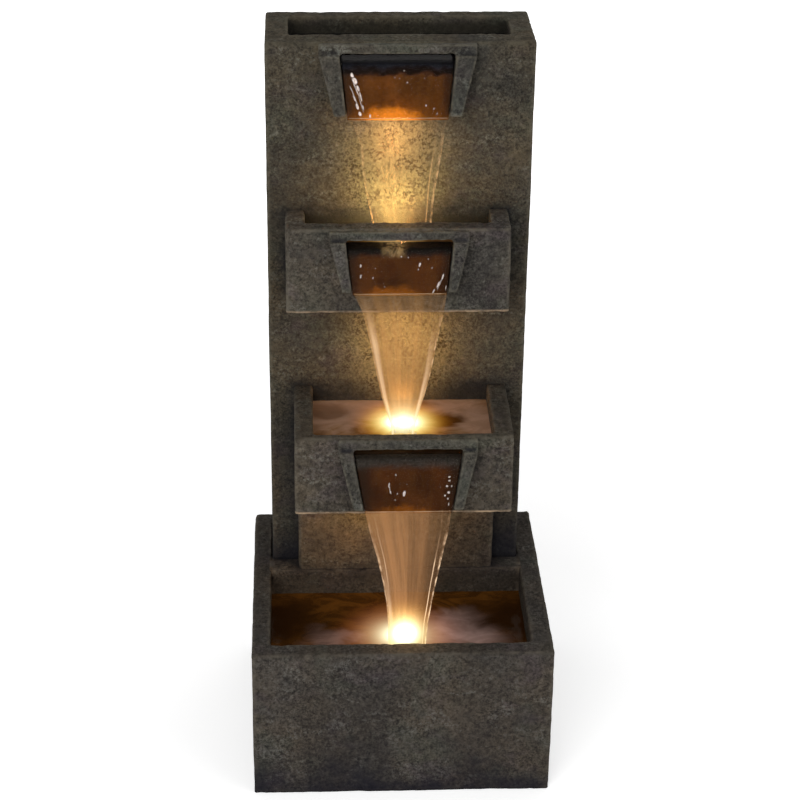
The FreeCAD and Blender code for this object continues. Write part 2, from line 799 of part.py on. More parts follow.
def make_riser():
    top = nut_bottom - hose_top_gap
    add("riser_hose", tube(0, pump_y, hose_bottom, hose_outer_radius, hose_bore_radius,
                           top - hose_bottom, Z_AXIS))
    clamps = []
    for z in (hose_bottom + clamp_set_back, top - clamp_set_back - clamp_width):
        band = tube(0, pump_y, z, hose_outer_radius + clamp_band, hose_outer_radius, clamp_width, Z_AXIS)
        x = hose_outer_radius + clamp_band / 2
        worm = box(x, x + clamp_housing, pump_y - clamp_housing / 2, pump_y + clamp_housing / 2,
                   z, z + clamp_width)
        screw = rod(x + clamp_housing / 2, pump_y - clamp_housing, z + clamp_width / 2,
                    clamp_screw_radius, 2 * clamp_housing, Y_AXIS)
        clamps.append(band.fuse(worm).fuse(screw).removeSplitter())
    parts["hose_clamps"] = Part.makeCompound(clamps)

    flange_z = reservoir_bottom + fitting_seal
    flange = rod(0, pump_y, flange_z, fitting_flange_radius, fitting_flange, Z_AXIS)
    thread = rod(0, pump_y, nut_bottom, fitting_thread_radius, flange_z - nut_bottom, Z_AXIS)
    spigot = rod(0, pump_y, nut_bottom - spigot_length, hose_bore_radius, spigot_length, Z_AXIS)
    mouth = rod(0, pump_y, flange_z, fitting_mouth_radius, fitting_flange + fitting_mouth, Z_AXIS)
    total = flange_z + fitting_flange + fitting_mouth - nut_bottom + spigot_length
    bore = rod(0, pump_y, nut_bottom - spigot_length, fitting_bore_radius, total, Z_AXIS)
    add("reservoir_fitting", flange.fuse(thread).fuse(spigot).fuse(mouth).cut(bore))
    add("fitting_seal", tube(0, pump_y, reservoir_bottom, fitting_flange_radius, fitting_thread_radius,
                             fitting_seal, Z_AXIS))
    corners = []
    for index in range(6):
        angle = math.radians(60 * index)
        corners.append(V(fitting_flange_radius * math.cos(angle),
                         pump_y + fitting_flange_radius * math.sin(angle), nut_bottom))
    nut = prism(corners, V(0, 0, fitting_nut_height))
    add("fitting_nut", nut.cut(rod(0, pump_y, nut_bottom, fitting_thread_radius,
                                   fitting_nut_height, Z_AXIS)))


# Pool lights on brackets

class Light:
    def __init__(self, name, x, wall_y, wall, top):
        self.name = name
        self.x = x
        self.wall_y = wall_y
        self.wall = wall
        self.top = top
        self.y = wall_y - light_standoff - light_radius
        self.shelf = top - light_height
        self.lead_z = self.shelf + light_gland_rise
        first = self.shelf - bracket_drop / 2 + bracket_screw_pitch / 2
        self.screws = [first, first - bracket_screw_pitch]


def drill_for_light(wall, light):
    wall = wall.cut(rod(light.x, light.wall_y, light.lead_z, lead_grommet_radius, light.wall, Y_AXIS))
    for z in light.screws:
        wall = wall.cut(rod(light.x, light.wall_y, z, bracket_screw_radius, bracket_screw_bite, Y_AXIS))
    return wall


def make_light(light):
    x = light.x
    y = light.y
    body = rod(x, y, light.shelf, light_radius, light_height, Z_AXIS)
    gland = rod(x, y, light.lead_z, light_gland_radius,
                light.wall_y - lead_grommet_flange - y, Y_AXIS)
    inner = light_radius - light_wall
    lens_seat = light.top - lens_thickness - seal_thickness
    body = body.fuse(gland)
    body = body.cut(rod(x, y, light.shelf + light_floor, inner - light_ledge, light_height, Z_AXIS))
    body = body.cut(rod(x, y, lens_seat, inner, light_height, Z_AXIS))
    add("light_" + light.name + "_housing", body)

    rim = inner - lens_gap
    base = lens_seat + seal_thickness
    crown_z = base + lens_thickness
    crown = V(x, y, crown_z + lens_crown)
    edges = [Part.Arc(V(x - rim, y, crown_z), crown, V(x + rim, y, crown_z)).toShape(),
             Part.LineSegment(V(x + rim, y, crown_z), V(x + rim, y, base)).toShape(),
             Part.LineSegment(V(x + rim, y, base), V(x - rim, y, base)).toShape(),
             Part.LineSegment(V(x - rim, y, base), V(x - rim, y, crown_z)).toShape()]
    half_disc = Part.Face(Part.Wire(edges)).common(box(x, x + rim, y - rim, y + rim, base, light.top + rim))
    add("light_" + light.name + "_lens", half_disc.revolve(V(x, y, base), Z_AXIS, 360))

    shelf = box(x - bracket_width / 2, x + bracket_width / 2, y - light_radius + light_wall, light.wall_y,
                light.shelf - bracket_thickness, light.shelf)
    plate = box(x - bracket_width / 2, x + bracket_width / 2, light.wall_y - bracket_thickness, light.wall_y,
                light.shelf - bracket_drop, light.shelf)
    bracket = shelf.fuse(plate)
    for z in light.screws:
        bracket = bracket.cut(rod(x, light.wall_y - bracket_thickness, z, bracket_screw_radius,
                                  bracket_thickness, Y_AXIS))
    add("light_" + light.name + "_bracket", bracket)


def make_light_small_parts(lights):
    seals = []
    boards = []
    screws = []
    grommets = []
    for light in lights:
        x = light.x
        y = light.y
        inner = light_radius - light_wall
        seals.append(tube(x, y, light.top - lens_thickness - seal_thickness, inner,
                          inner - light_ledge, seal_thickness, Z_AXIS))
        floor_z = light.shelf + light_floor
        board = rod(x, y, floor_z, inner - light_ledge - board_gap, board_thickness, Z_AXIS)
        for index in range(emitter_count):
            angle = 2 * math.pi * index / emitter_count
            board = board.fuse(rod(x + emitter_circle * math.cos(angle), y + emitter_circle * math.sin(angle),
                                   floor_z + board_thickness, emitter_radius, emitter_height, Z_AXIS))
        boards.append(board)
        for z in light.screws:
            head = rod(x, light.wall_y - bracket_thickness - bracket_screw_head, z,
                       bracket_screw_head_radius, bracket_screw_head, Y_AXIS)
            shank = rod(x, light.wall_y - bracket_thickness, z, bracket_screw_radius,
                        bracket_thickness + bracket_screw_bite, Y_AXIS)
            screws.append(head.fuse(shank))
        length = light.wall + 2 * lead_grommet_flange
        start = light.wall_y - lead_grommet_flange
        grommet = rod(x, start, light.lead_z, lead_grommet_radius, length, Y_AXIS)
        for flange_y in (start, light.wall_y + light.wall):
            grommet = grommet.fuse(rod(x, flange_y, light.lead_z, lead_grommet_flange_radius,
                                       lead_grommet_flange, Y_AXIS))
        grommets.append(grommet.cut(rod(x, start, light.lead_z, light_lead_radius, length, Y_AXIS)))
    parts["light_seals"] = Part.makeCompound(seals)
    parts["light_boards"] = Part.makeCompound(boards)
    parts["bracket_screws"] = Part.makeCompound(screws)
    parts["lead_grommets"] = Part.makeCompound(grommets)


# Junction box and leads

def make_junction():
    y0 = junction_y - junction_width / 2
    y1 = junction_y + junction_width / 2
    wall = junction_wall
    case = box(junction_x0, junction_x1, y0, y1, junction_base, junction_top)
    case = case.cut(box(junction_x0 + wall, junction_x1, y0 + wall, y1 - wall,
                        junction_base + wall, junction_top - wall))
    add("junction_box", case)
    add("junction_lid", box(junction_x1, junction_x1 + junction_lid_thickness, y0, y1,
                            junction_base, junction_top))
    glands = []
    for step in (-1, 0, 1):
        gland = rod(gland_x, junction_y + step * junction_gland_spacing,
                    junction_base - junction_gland_length, junction_gland_radius,
                    junction_gland_length, Z_AXIS)
        # The middle gland takes the supply cord, which is left out, so it is bored
        if step == 0:
            gland = gland.cut(rod(gland_x, junction_y, junction_base - junction_gland_length,
                                  supply_bore_radius, junction_gland_length, Z_AXIS))
        glands.append(gland)
    for step in (-0.5, 0.5):
        glands.append(rod(gland_x, junction_y + step * junction_top_gland_spacing, junction_top,
                          junction_gland_radius, junction_gland_length, Z_AXIS))
    parts["junction_glands"] = Part.makeCompound(glands)


def make_lead(name, points, radius):
    """A lead of straight runs joined by tangent arcs, as large as the shorter run allows."""
    corners = [V(*point) for point in points]
    edges = []
    radii = []
    start = corners[0]
    for before, corner, after in zip(corners, corners[1:], corners[2:]):
        arriving = (corner - before).normalize()
        leaving = (after - corner).normalize()
        turn = arriving.getAngle(leaving)
        shorter = min((corner - before).Length, (after - corner).Length)
        set_back = 0.45 * shorter
        arc_radius = set_back / math.tan(turn / 2)
        first = corner - arriving * set_back
        last = corner + leaving * set_back
        towards = (leaving - arriving).normalize()
        middle = corner + towards * (arc_radius / math.cos(turn / 2) - arc_radius)
        edges.append(Part.LineSegment(start, first).toShape())
        edges.append(Part.Arc(first, middle, last).toShape())
        radii.append(arc_radius)
        start = last
    edges.append(Part.LineSegment(start, corners[-1]).toShape())
    path = Part.Wire(edges)
    ring = Part.Wire([Part.makeCircle(radius, corners[0], (corners[1] - corners[0]).normalize())])
    solid = path.makePipeShell([ring], True, False)
    ideal = math.pi * radius ** 2 * path.Length
    print(name, "least radius", round(min(radii), 1), "length", round(path.Length, 1),
          "volume ratio", round(solid.Volume / ideal, 4))
    add(name, solid)


def shifted(point, steps):
    """The points that lie these steps from point."""
    return [tuple(a + b for a, b in zip(point, step)) for step in steps]


def light_lead_start(light):
    return (light.x, light.wall_y - lead_grommet_flange, light.lead_z)


def make_leads(basin_light, lower_light, middle_light):
    bottom = junction_base - junction_gland_length
    top = junction_top + junction_gland_length
    start = (motor_x1 - pump_gland_inset, pump_y, pump_top + pump_gland_height)
    end = (gland_x, junction_y + junction_gland_spacing, bottom)
    make_lead("lead_pump", [start] + shifted(start, pump_lead_leaving)
              + shifted(end, pump_lead_arriving) + [end], pump_lead_radius)

    start = light_lead_start(basin_light)
    end = (gland_x, junction_y - junction_gland_spacing, bottom)
    make_lead("lead_light_basin", [start] + shifted(start, basin_lead_leaving)
              + shifted(end, basin_lead_arriving) + [end], light_lead_radius)

    start = light_lead_start(lower_light)
    end = (gland_x, junction_y - junction_top_gland_spacing / 2, top)
    make_lead("lead_light_lower", [start] + shifted(start, lower_lead_leaving)
              + shifted(end, lower_lead_arriving) + [end], light_lead_radius)

    start = light_lead_start(middle_light)
    end = (gland_x, junction_y + junction_top_gland_spacing / 2, top)
    clip_x = junction_x0 + clip_stand_off
    last_clip = (clip_x, end[1], clip_first_height + clip_pitch * (clip_count - 1))
    make_lead("lead_light_middle", [start] + shifted(start, middle_lead_leaving)
              + shifted(last_clip, [middle_lead_to_clips, (0, 0, middle_lead_above_clips)])
              + [(clip_x, end[1], clip_first_height - middle_lead_below_clips),
                 (gland_x, end[1], top + middle_lead_above_gland), end], light_lead_radius)
    make_clips(clip_x, end[1])


def make_clips(x, y):
    clips = []
    for index in range(clip_count):
        z = clip_first_height + index * clip_pitch
        outer = light_lead_radius + clip_band
        ring = rod(x, y, z, outer, clip_width, Z_AXIS)
        base = box(junction_x0, x, y - outer, y + outer, z, z + clip_width)
        clip = ring.fuse(base).cut(rod(x, y, z, light_lead_radius, clip_width, Z_AXIS))
        clips.append(clip.removeSplitter())
    parts["lead_clips"] = Part.makeCompound(clips)


# The model

upper_spout = Spout(upper_spout_x, tower_front, reservoir_front_rim, total_height, upper_header_height,
                    upper_window_width, upper_lip_width, upper_rib_top, upper_rib_foot, upper_drop)
middle_spout = Spout(middle_spout_x, tower_front - middle_trough_reach, middle_trough_front_rim,
                     middle_trough_top, middle_header_height, middle_window_width, middle_lip_width,
                     middle_rib_top, middle_rib_foot, middle_drop)
lower_spout = Spout(lower_spout_x, tower_front - lower_trough_reach, lower_trough_front_rim,
                    lower_trough_top, lower_header_height, lower_window_width, lower_lip_width,
                    lower_rib_top, lower_rib_foot, lower_drop)
basin_light = Light("basin", basin_light_x, ledge_front, ledge_wall_thickness, basin_light_top)
lower_light = Light("lower", lower_light_x, tower_front, tower_wall, lower_light_top)
middle_light = Light("middle", middle_light_x, tower_front, tower_wall, middle_light_top)

make_basin()
make_ledge()
make_pedestal()
make_tower()
make_trough("trough_middle", middle_trough_x, middle_trough_width, middle_trough_reach,
            middle_trough_top, middle_trough_height, middle_trough_front_rim, middle_spout)
make_trough("trough_lower", lower_trough_x, lower_trough_width, lower_trough_reach,
            lower_trough_top, lower_trough_height, lower_trough_front_rim, lower_spout)
make_trough_screws()
for name, spout in (("upper", upper_spout), ("middle", middle_spout), ("lower", lower_spout)):
    make_spout_frame("spout_frame_" + name, spout)
    make_chute("chute_" + name, spout)
make_door()
make_outlet_grommet()
make_pump_motor()
make_pump_rotor()
make_pump_chamber()
make_strainer()
make_pump_feet()
make_pump_gland()
make_riser()
for light in (basin_light, lower_light, middle_light):
    make_light(light)
make_light_small_parts((basin_light, lower_light, middle_light))
make_junction()
make_leads(basin_light, lower_light, middle_light)

os.makedirs("parts", exist_ok=True)
for name, shape in parts.items():
    for solid in shape.Solids:
        if not solid.isValid() or solid.Volume <= 0:
            print("bad solid in", name)
    print(name, len(shape.Solids), round(shape.Volume / 1000, 2), "cm3")
    shape.exportStep("parts/" + name + ".step")
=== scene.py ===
import math
import random
from collections import namedtuple

import bpy
import numpy as np
from mathutils import Euler, Matrix, Vector, noise


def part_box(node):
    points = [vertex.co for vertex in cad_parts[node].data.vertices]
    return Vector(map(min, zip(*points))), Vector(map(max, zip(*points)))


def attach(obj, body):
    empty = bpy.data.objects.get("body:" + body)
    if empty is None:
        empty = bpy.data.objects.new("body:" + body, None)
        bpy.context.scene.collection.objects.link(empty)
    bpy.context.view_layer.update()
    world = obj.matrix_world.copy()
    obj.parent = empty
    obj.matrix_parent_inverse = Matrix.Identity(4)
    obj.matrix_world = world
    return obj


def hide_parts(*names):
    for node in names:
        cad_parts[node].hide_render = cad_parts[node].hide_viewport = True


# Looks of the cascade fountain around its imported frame, in metres.
# X runs to the right seen from the front, Y to the back, Z up.
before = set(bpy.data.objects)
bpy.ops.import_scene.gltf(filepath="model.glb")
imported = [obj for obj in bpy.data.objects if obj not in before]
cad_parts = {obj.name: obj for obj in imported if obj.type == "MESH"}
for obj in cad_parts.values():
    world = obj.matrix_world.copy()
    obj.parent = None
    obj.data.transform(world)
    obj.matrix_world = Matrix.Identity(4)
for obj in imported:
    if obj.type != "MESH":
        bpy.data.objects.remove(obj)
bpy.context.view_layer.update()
MM = 0.001
ROOT = "fountain"
X, Y, Z = 0, 1, 2


# Places read from the frame

def low(node, axis):
    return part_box(node)[0][axis]


def high(node, axis):
    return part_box(node)[1][axis]


tower_front = low("tower_shell", Y)
tower_wall = 8 * MM

# A pool between its walls: its plan, floor, water level, the rim above it, and how dark it wets its walls
Pool = namedtuple("Pool", "name x0 x1 y0 y1 floor level rim wet")


def trough_pool(name, side_rim, front_wall, level, wet):
    node = "trough_" + name
    return Pool(name, low(node, X) + side_rim, high(node, X) - side_rim, low(node, Y) + front_wall,
        tower_front, low(node, Z), level, high(node, Z), wet)


POOLS = {pool.name: pool for pool in (
    Pool("reservoir", low("tower_shell", X) + 34 * MM, high("tower_shell", X) - 34 * MM,
        tower_front + 35 * MM, high("tower_shell", Y) - 25 * MM,
        860 * MM, 975.5 * MM, high("tower_shell", Z), 1),
    trough_pool("middle", 27 * MM, 25 * MM, 747.5 * MM, 1),
    trough_pool("lower", 27 * MM, 13 * MM, 483 * MM, 0.4),
    Pool("basin", low("ledge_wall", X), high("ledge_wall", X), low("basin", Y) + 28 * MM,
        low("ledge_wall", Y), 20 * MM, 188 * MM, high("basin", Z), 0.6))}

throw = 9 * MM


class Tier:
    """One spout, and the sheet that falls from it into the pool below.

    outline lists (drop below the lip, middle, half width) of the sheet in millimetres. The sheet moves
    forward by throw times the square root of its drop in metres."""

    def __init__(self, name, face_node, target, half_lip, outline):
        chute = "chute_" + name
        self.name = name
        self.target = POOLS[target]
        self.face = low(face_node, Y)
        self.back_y = high(chute, Y)
        self.lip_y = low(chute, Y)
        self.lip_z = low(chute, Z) + 4 * MM
        self.crest_z = high(chute, Z)
        self.header_z = self.crest_z + 12 * MM
        self.x = (low(chute, X) + high(chute, X)) / 2
        self.half_top = (high(chute, X) - low(chute, X)) / 2
        self.half_lip = half_lip * MM
        self.outline = np.array(outline) * MM
        self.fall = self.lip_z - self.target.level
        self.landing = Vector((self.outline[-1, 1], self.lip_y - throw * math.sqrt(self.fall),
            self.target.level))


TIERS = [
    Tier("upper", "tower_shell", "middle", 66,
        [(0, -6, 64.5), (14, -4, 58.5), (36, -1, 53.5), (65, -2, 50.5), (100, -2, 45.5), (145, 0, 39),
        (165, 0, 37)]),
    Tier("middle", "trough_middle", "lower", 62.5,
        [(0, -3.5, 61), (25, 0.5, 53.5), (73, 1.5, 43.5), (115, 2, 36), (150, 2, 28.5), (193, 2, 16),
        (210, 2, 15)]),
    Tier("lower", "trough_lower", "basin", 59,
        [(0, 6, 57.5), (31, 8, 52.5), (70, 9, 43.5), (109, 9.5, 36), (141, 9.5, 31), (173, 8.5, 27),
        (230, 7, 25)]),
]


# Meshes

def add_object(name, data):
    thing = bpy.data.objects.new(name, data)
    bpy.context.scene.collection.objects.link(thing)
    return thing


def water_piece(name, points, faces, material):
    mesh = bpy.data.meshes.new(name)
    mesh.from_pydata([tuple(point) for point in points], [], faces)
    mesh.validate()
    mesh.update()
    mesh.shade_smooth()
    mesh.materials.append(material)
    piece = add_object(name, mesh)
    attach(piece, ROOT)
    return piece


def read_vectors(mesh, kind):
    values = np.zeros(len(mesh.vertices) * 3)
    mesh.vertices.foreach_get(kind, values)
    return values.reshape(-1, 3)


def store(mesh, **columns):
    """Stores a value for each point under each name, for the materials to read."""
    for name, values in columns.items():
        attribute = mesh.attributes.new(name, "FLOAT", "POINT")
        attribute.data.foreach_set("value", np.asarray(values, np.float32))


def applied(piece):
    """The piece's mesh with its modifiers applied, and the modifiers removed."""
    graph = bpy.context.evaluated_depsgraph_get()
    mesh = bpy.data.meshes.new_from_object(piece.evaluated_get(graph))
    piece.modifiers.clear()
    old = piece.data
    piece.data = mesh
    bpy.data.meshes.remove(old)
    return mesh


def noise_at(points, size, seed, octaves=2):
    """Smooth noise from about -1 to 1 at each point, with features of about that size."""
    shift = Vector((seed * 3.7, seed * 1.3, seed * 7.1))
    return np.array([noise.fractal(Vector(point) / size + shift, 1, 2, octaves) for point in points])


def edge_mean(pairs, to_first, to_second, count):
    """Each point's mean over its edges, which bring these values to their first and second end."""
    total = np.zeros(count)
    np.add.at(total, pairs[:, 0], to_first)
    np.add.at(total, pairs[:, 1], to_second)
    return total / np.maximum(np.bincount(pairs.ravel(), minlength=count), 1)


def convexity(mesh, points, normals, spread):
    """How far each point stands out on an edge, from -1 in a corner to 1 on an edge."""
    pairs = np.zeros(len(mesh.edges) * 2, int)
    mesh.edges.foreach_get("vertices", pairs)
    pairs = pairs.reshape(-1, 2)
    first, second = pairs.T
    step = points[first] - points[second]
    turn = normals[first] - normals[second]
    bend = (step * turn).sum(1) / np.maximum((step * step).sum(1), 1e-12)
    count = len(points)
    value = edge_mean(pairs, bend, bend, count) * spread
    for _ in range(2):
        value = (value + edge_mean(pairs, value[second], value[first], count)) / 2
    return np.clip(value, -1, 1)


def dampness(points):
    """How wet each point is: the pool's share on the walls inside it, none outside it and at its rim."""
    damp = np.zeros(len(points))
    reach = 4 * MM
    x, y, z = points.T
    for pool in POOLS.values():
        inside = ((x > pool.x0 - reach) & (x < pool.x1 + reach) & (y > pool.y0 - reach)
            & (y < pool.y1 + reach) & (z > pool.floor))
        depth = np.clip((pool.rim - reach - z) / (2 * reach), 0, 1)
        damp = np.maximum(damp, np.where(inside, depth * pool.wet, 0))
    return damp


def nearness(points, nodes, reach):
    """1 against any of these nodes, halving with every reach away from their boxes."""
    near = np.zeros(len(points))
    for node in nodes:
        bottom, top = (np.array(corner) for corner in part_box(node))
        outside = np.maximum(np.maximum(bottom - points, points - top), 0)
        near = np.maximum(near, 0.5 ** (np.sqrt((outside ** 2).sum(1)) / reach))
    return near


# Materials

WHITE = (1, 1, 1)
WATER_IOR = 1.33


class Shader:
    """A node tree of a material or world, with short calls for the nodes that repeat."""

    def __init__(self, name, world=None):
        self.owner = world or bpy.data.materials.new(name)
        self.owner.use_nodes = True
        self.tree = self.owner.node_tree
        self.tree.nodes.clear()
        self.place = None if world else self.node("TexCoord", {}, "Object")
        self.colour = None

    def put(self, value, socket):
        if isinstance(value, bpy.types.NodeSocket):
            self.tree.links.new(value, socket)
        elif isinstance(value, (tuple, list)) and len(value) == 3 and socket.type == "RGBA":
            socket.default_value = (*value, 1)
        else:
            socket.default_value = value

    def node(self, kind, inputs, output=0, **settings):
        """One output of a new node, whose inputs go by name or by number."""
        made = self.tree.nodes.new("ShaderNode" + kind)
        for key, value in settings.items():
            setattr(made, key, value)
        for key, value in inputs.items():
            self.put(value, made.inputs[key])
        return made.outputs[output]

    def noise(self, scale, detail=3, roughness=0.5, distortion=0, stretch=None, vector=None):
        if stretch:
            vector = self.node("Mapping", {"Vector": self.place, "Scale": stretch})
        return self.node("TexNoise", {"Vector": vector or self.place, "Scale": scale, "Detail": detail,
            "Roughness": roughness, "Distortion": distortion}, "Fac")

    def cells(self, scale):
        return self.node("TexVoronoi", {"Vector": self.place, "Scale": scale}, "Distance")

    def math(self, operation, a, b=0):
        return self.node("Math", {0: a, 1: b}, operation=operation)

    def plus(self, a, b):
        return self.math("ADD", a, b)

    def minus(self, a, b):
        return self.math("SUBTRACT", a, b)

    def apart(self, a, b):
        """How far two values are apart."""
        return self.math("ABSOLUTE", self.minus(a, b))

    def times(self, product, *values):
        for value in values:
            product = self.math("MULTIPLY", product, value)
        return product

    def map(self, value, from_low, from_high, to_low=0, to_high=1, kind="LINEAR"):
        return self.node("MapRange", {
            "Value": value, "From Min": from_low, "From Max": from_high, "To Min": to_low,
            "To Max": to_high}, interpolation_type=kind)

    def ease(self, *places):
        """The same with soft ends."""
        return self.map(*places, kind="SMOOTHSTEP")

    def mix(self, share, a, b, blend="MIX"):
        return self.node("Mix", {0: share, 6: a, 7: b}, 2, data_type="RGBA", blend_type=blend)

    def summed(self, a, b):
        return self.mix(1, a, b, "ADD")

    def scaled(self, colour, share):
        """The colour times a number, a colour or a socket."""
        if isinstance(share, float):
            share = (share, share, share)
        return self.mix(1, colour, share, "MULTIPLY")

    def lay(self, share, tone):
        """Lays a tone over the colour so far."""
        self.colour = self.mix(share, self.colour, tone)

    def tint(self, tone):
        self.colour = self.scaled(self.colour, tone)

    def attribute(self, name):
        return self.node("Attribute", {}, "Fac", attribute_name=name)

    def axis(self, index):
        return self.node("SeparateXYZ", {0: self.place}, index)

    def bump(self, height, strength, distance):
        return self.node("Bump", {"Height": height, "Strength": strength, "Distance": distance})

    def distance(self, centre, scale=(1, 1, 1)):
        """Distance of a surface point from centre, with each axis scaled."""
        moved = self.node("VectorMath", {0: self.place, 1: tuple(centre)}, operation="SUBTRACT")
        scaled = self.node("VectorMath", {0: moved, 1: scale}, operation="MULTIPLY")
        return self.node("VectorMath", {0: scaled}, "Value", operation="LENGTH")

    def halving(self, distance, reach):
        """A share that is 1 at no distance and halves with every reach."""
        return self.math("POWER", 0.5, self.math("DIVIDE", distance, reach))

    def bloom(self, spread, bands, reach):
        """Light round a lamp's glare. bands is (peak, halving distance in mm) of red, green and blue,
        so that it turns from white over yellow to red, and ends at reach."""
        fade = self.ease(spread, reach, reach * 0.45)
        channels = [self.times(self.halving(spread, half * MM), peak, fade) for peak, half in bands]
        return self.node("CombineColor", dict(enumerate(channels)))

    def finish(self, colour, roughness, shine=0.5, emission=None, emitted=1, **inputs):
        """Ends the tree in a principled shader."""
        inputs.update({"Base Color": colour, "Roughness": roughness, "Specular IOR Level": shine})
        if emission is not None:
            inputs.update({"Emission Color": emission, "Emission Strength": emitted})
        return self.end(self.node("BsdfPrincipled", inputs))

    def emission(self, colour):
        return self.node("Emission", {"Color": colour, "Strength": 1})

    def transparent(self, colour):
        return self.node("BsdfTransparent", {"Color": colour})

    def blend(self, share, a, b):
        return self.node("MixShader", {0: share, 1: a, 2: b})

    def add(self, a, b):
        return self.node("AddShader", {0: a, 1: b})

    def under_gloss(self, body, colour, roughness, normal, share):
        """The body under a share of water's own reflection."""
        gloss = self.node("BsdfGlossy", {"Color": colour, "Roughness": roughness, "Normal": normal})
        fresnel = self.node("Fresnel", {"IOR": WATER_IOR, "Normal": normal})
        return self.blend(self.times(fresnel, share), body, gloss)

    def end(self, shader, kind="Material"):
        output = self.tree.nodes.new("ShaderNodeOutput" + kind)
        self.tree.links.new(shader, output.inputs["Surface"])
        return self.owner


CHARCOAL = (0.043, 0.04, 0.037)
UMBER = (0.08, 0.064, 0.045)
MOSS = (0.054, 0.058, 0.047)
PLUM = (0.058, 0.046, 0.051)
PALE_FLECK = (0.19, 0.186, 0.162)
DARK_PIT = (0.014, 0.014, 0.014)
RUBBED_EDGE = (0.125, 0.11, 0.085)
# Painted light on the troughs' bottom front edges, from the lamp below
LAMPLIT_FOOT_EDGE = (0.4, 0.29, 0.19)
# Painted shade in concave creases and against neighbouring parts
PAINTED_CORNER_SHADE = (0.011, 0.011, 0.014)
DEEP_SHADE = (0.012, 0.012, 0.019)
# Painted lamp glow on the walls behind the sheets: its tone, its lit grain, and specks in painted shade
GLOW_BASE = (0.09, 0.077, 0.045)
GLOW_GRAIN = (0.15, 0.134, 0.082)
GLOW_GRAIN_SHADE = (0.022, 0.015, 0.008)
# Painted shade on top faces, which take less light than the fronts
TOP_SHADE_TONE = (0.016, 0.013, 0.009)
SOAKED = (0.021, 0.019, 0.015)


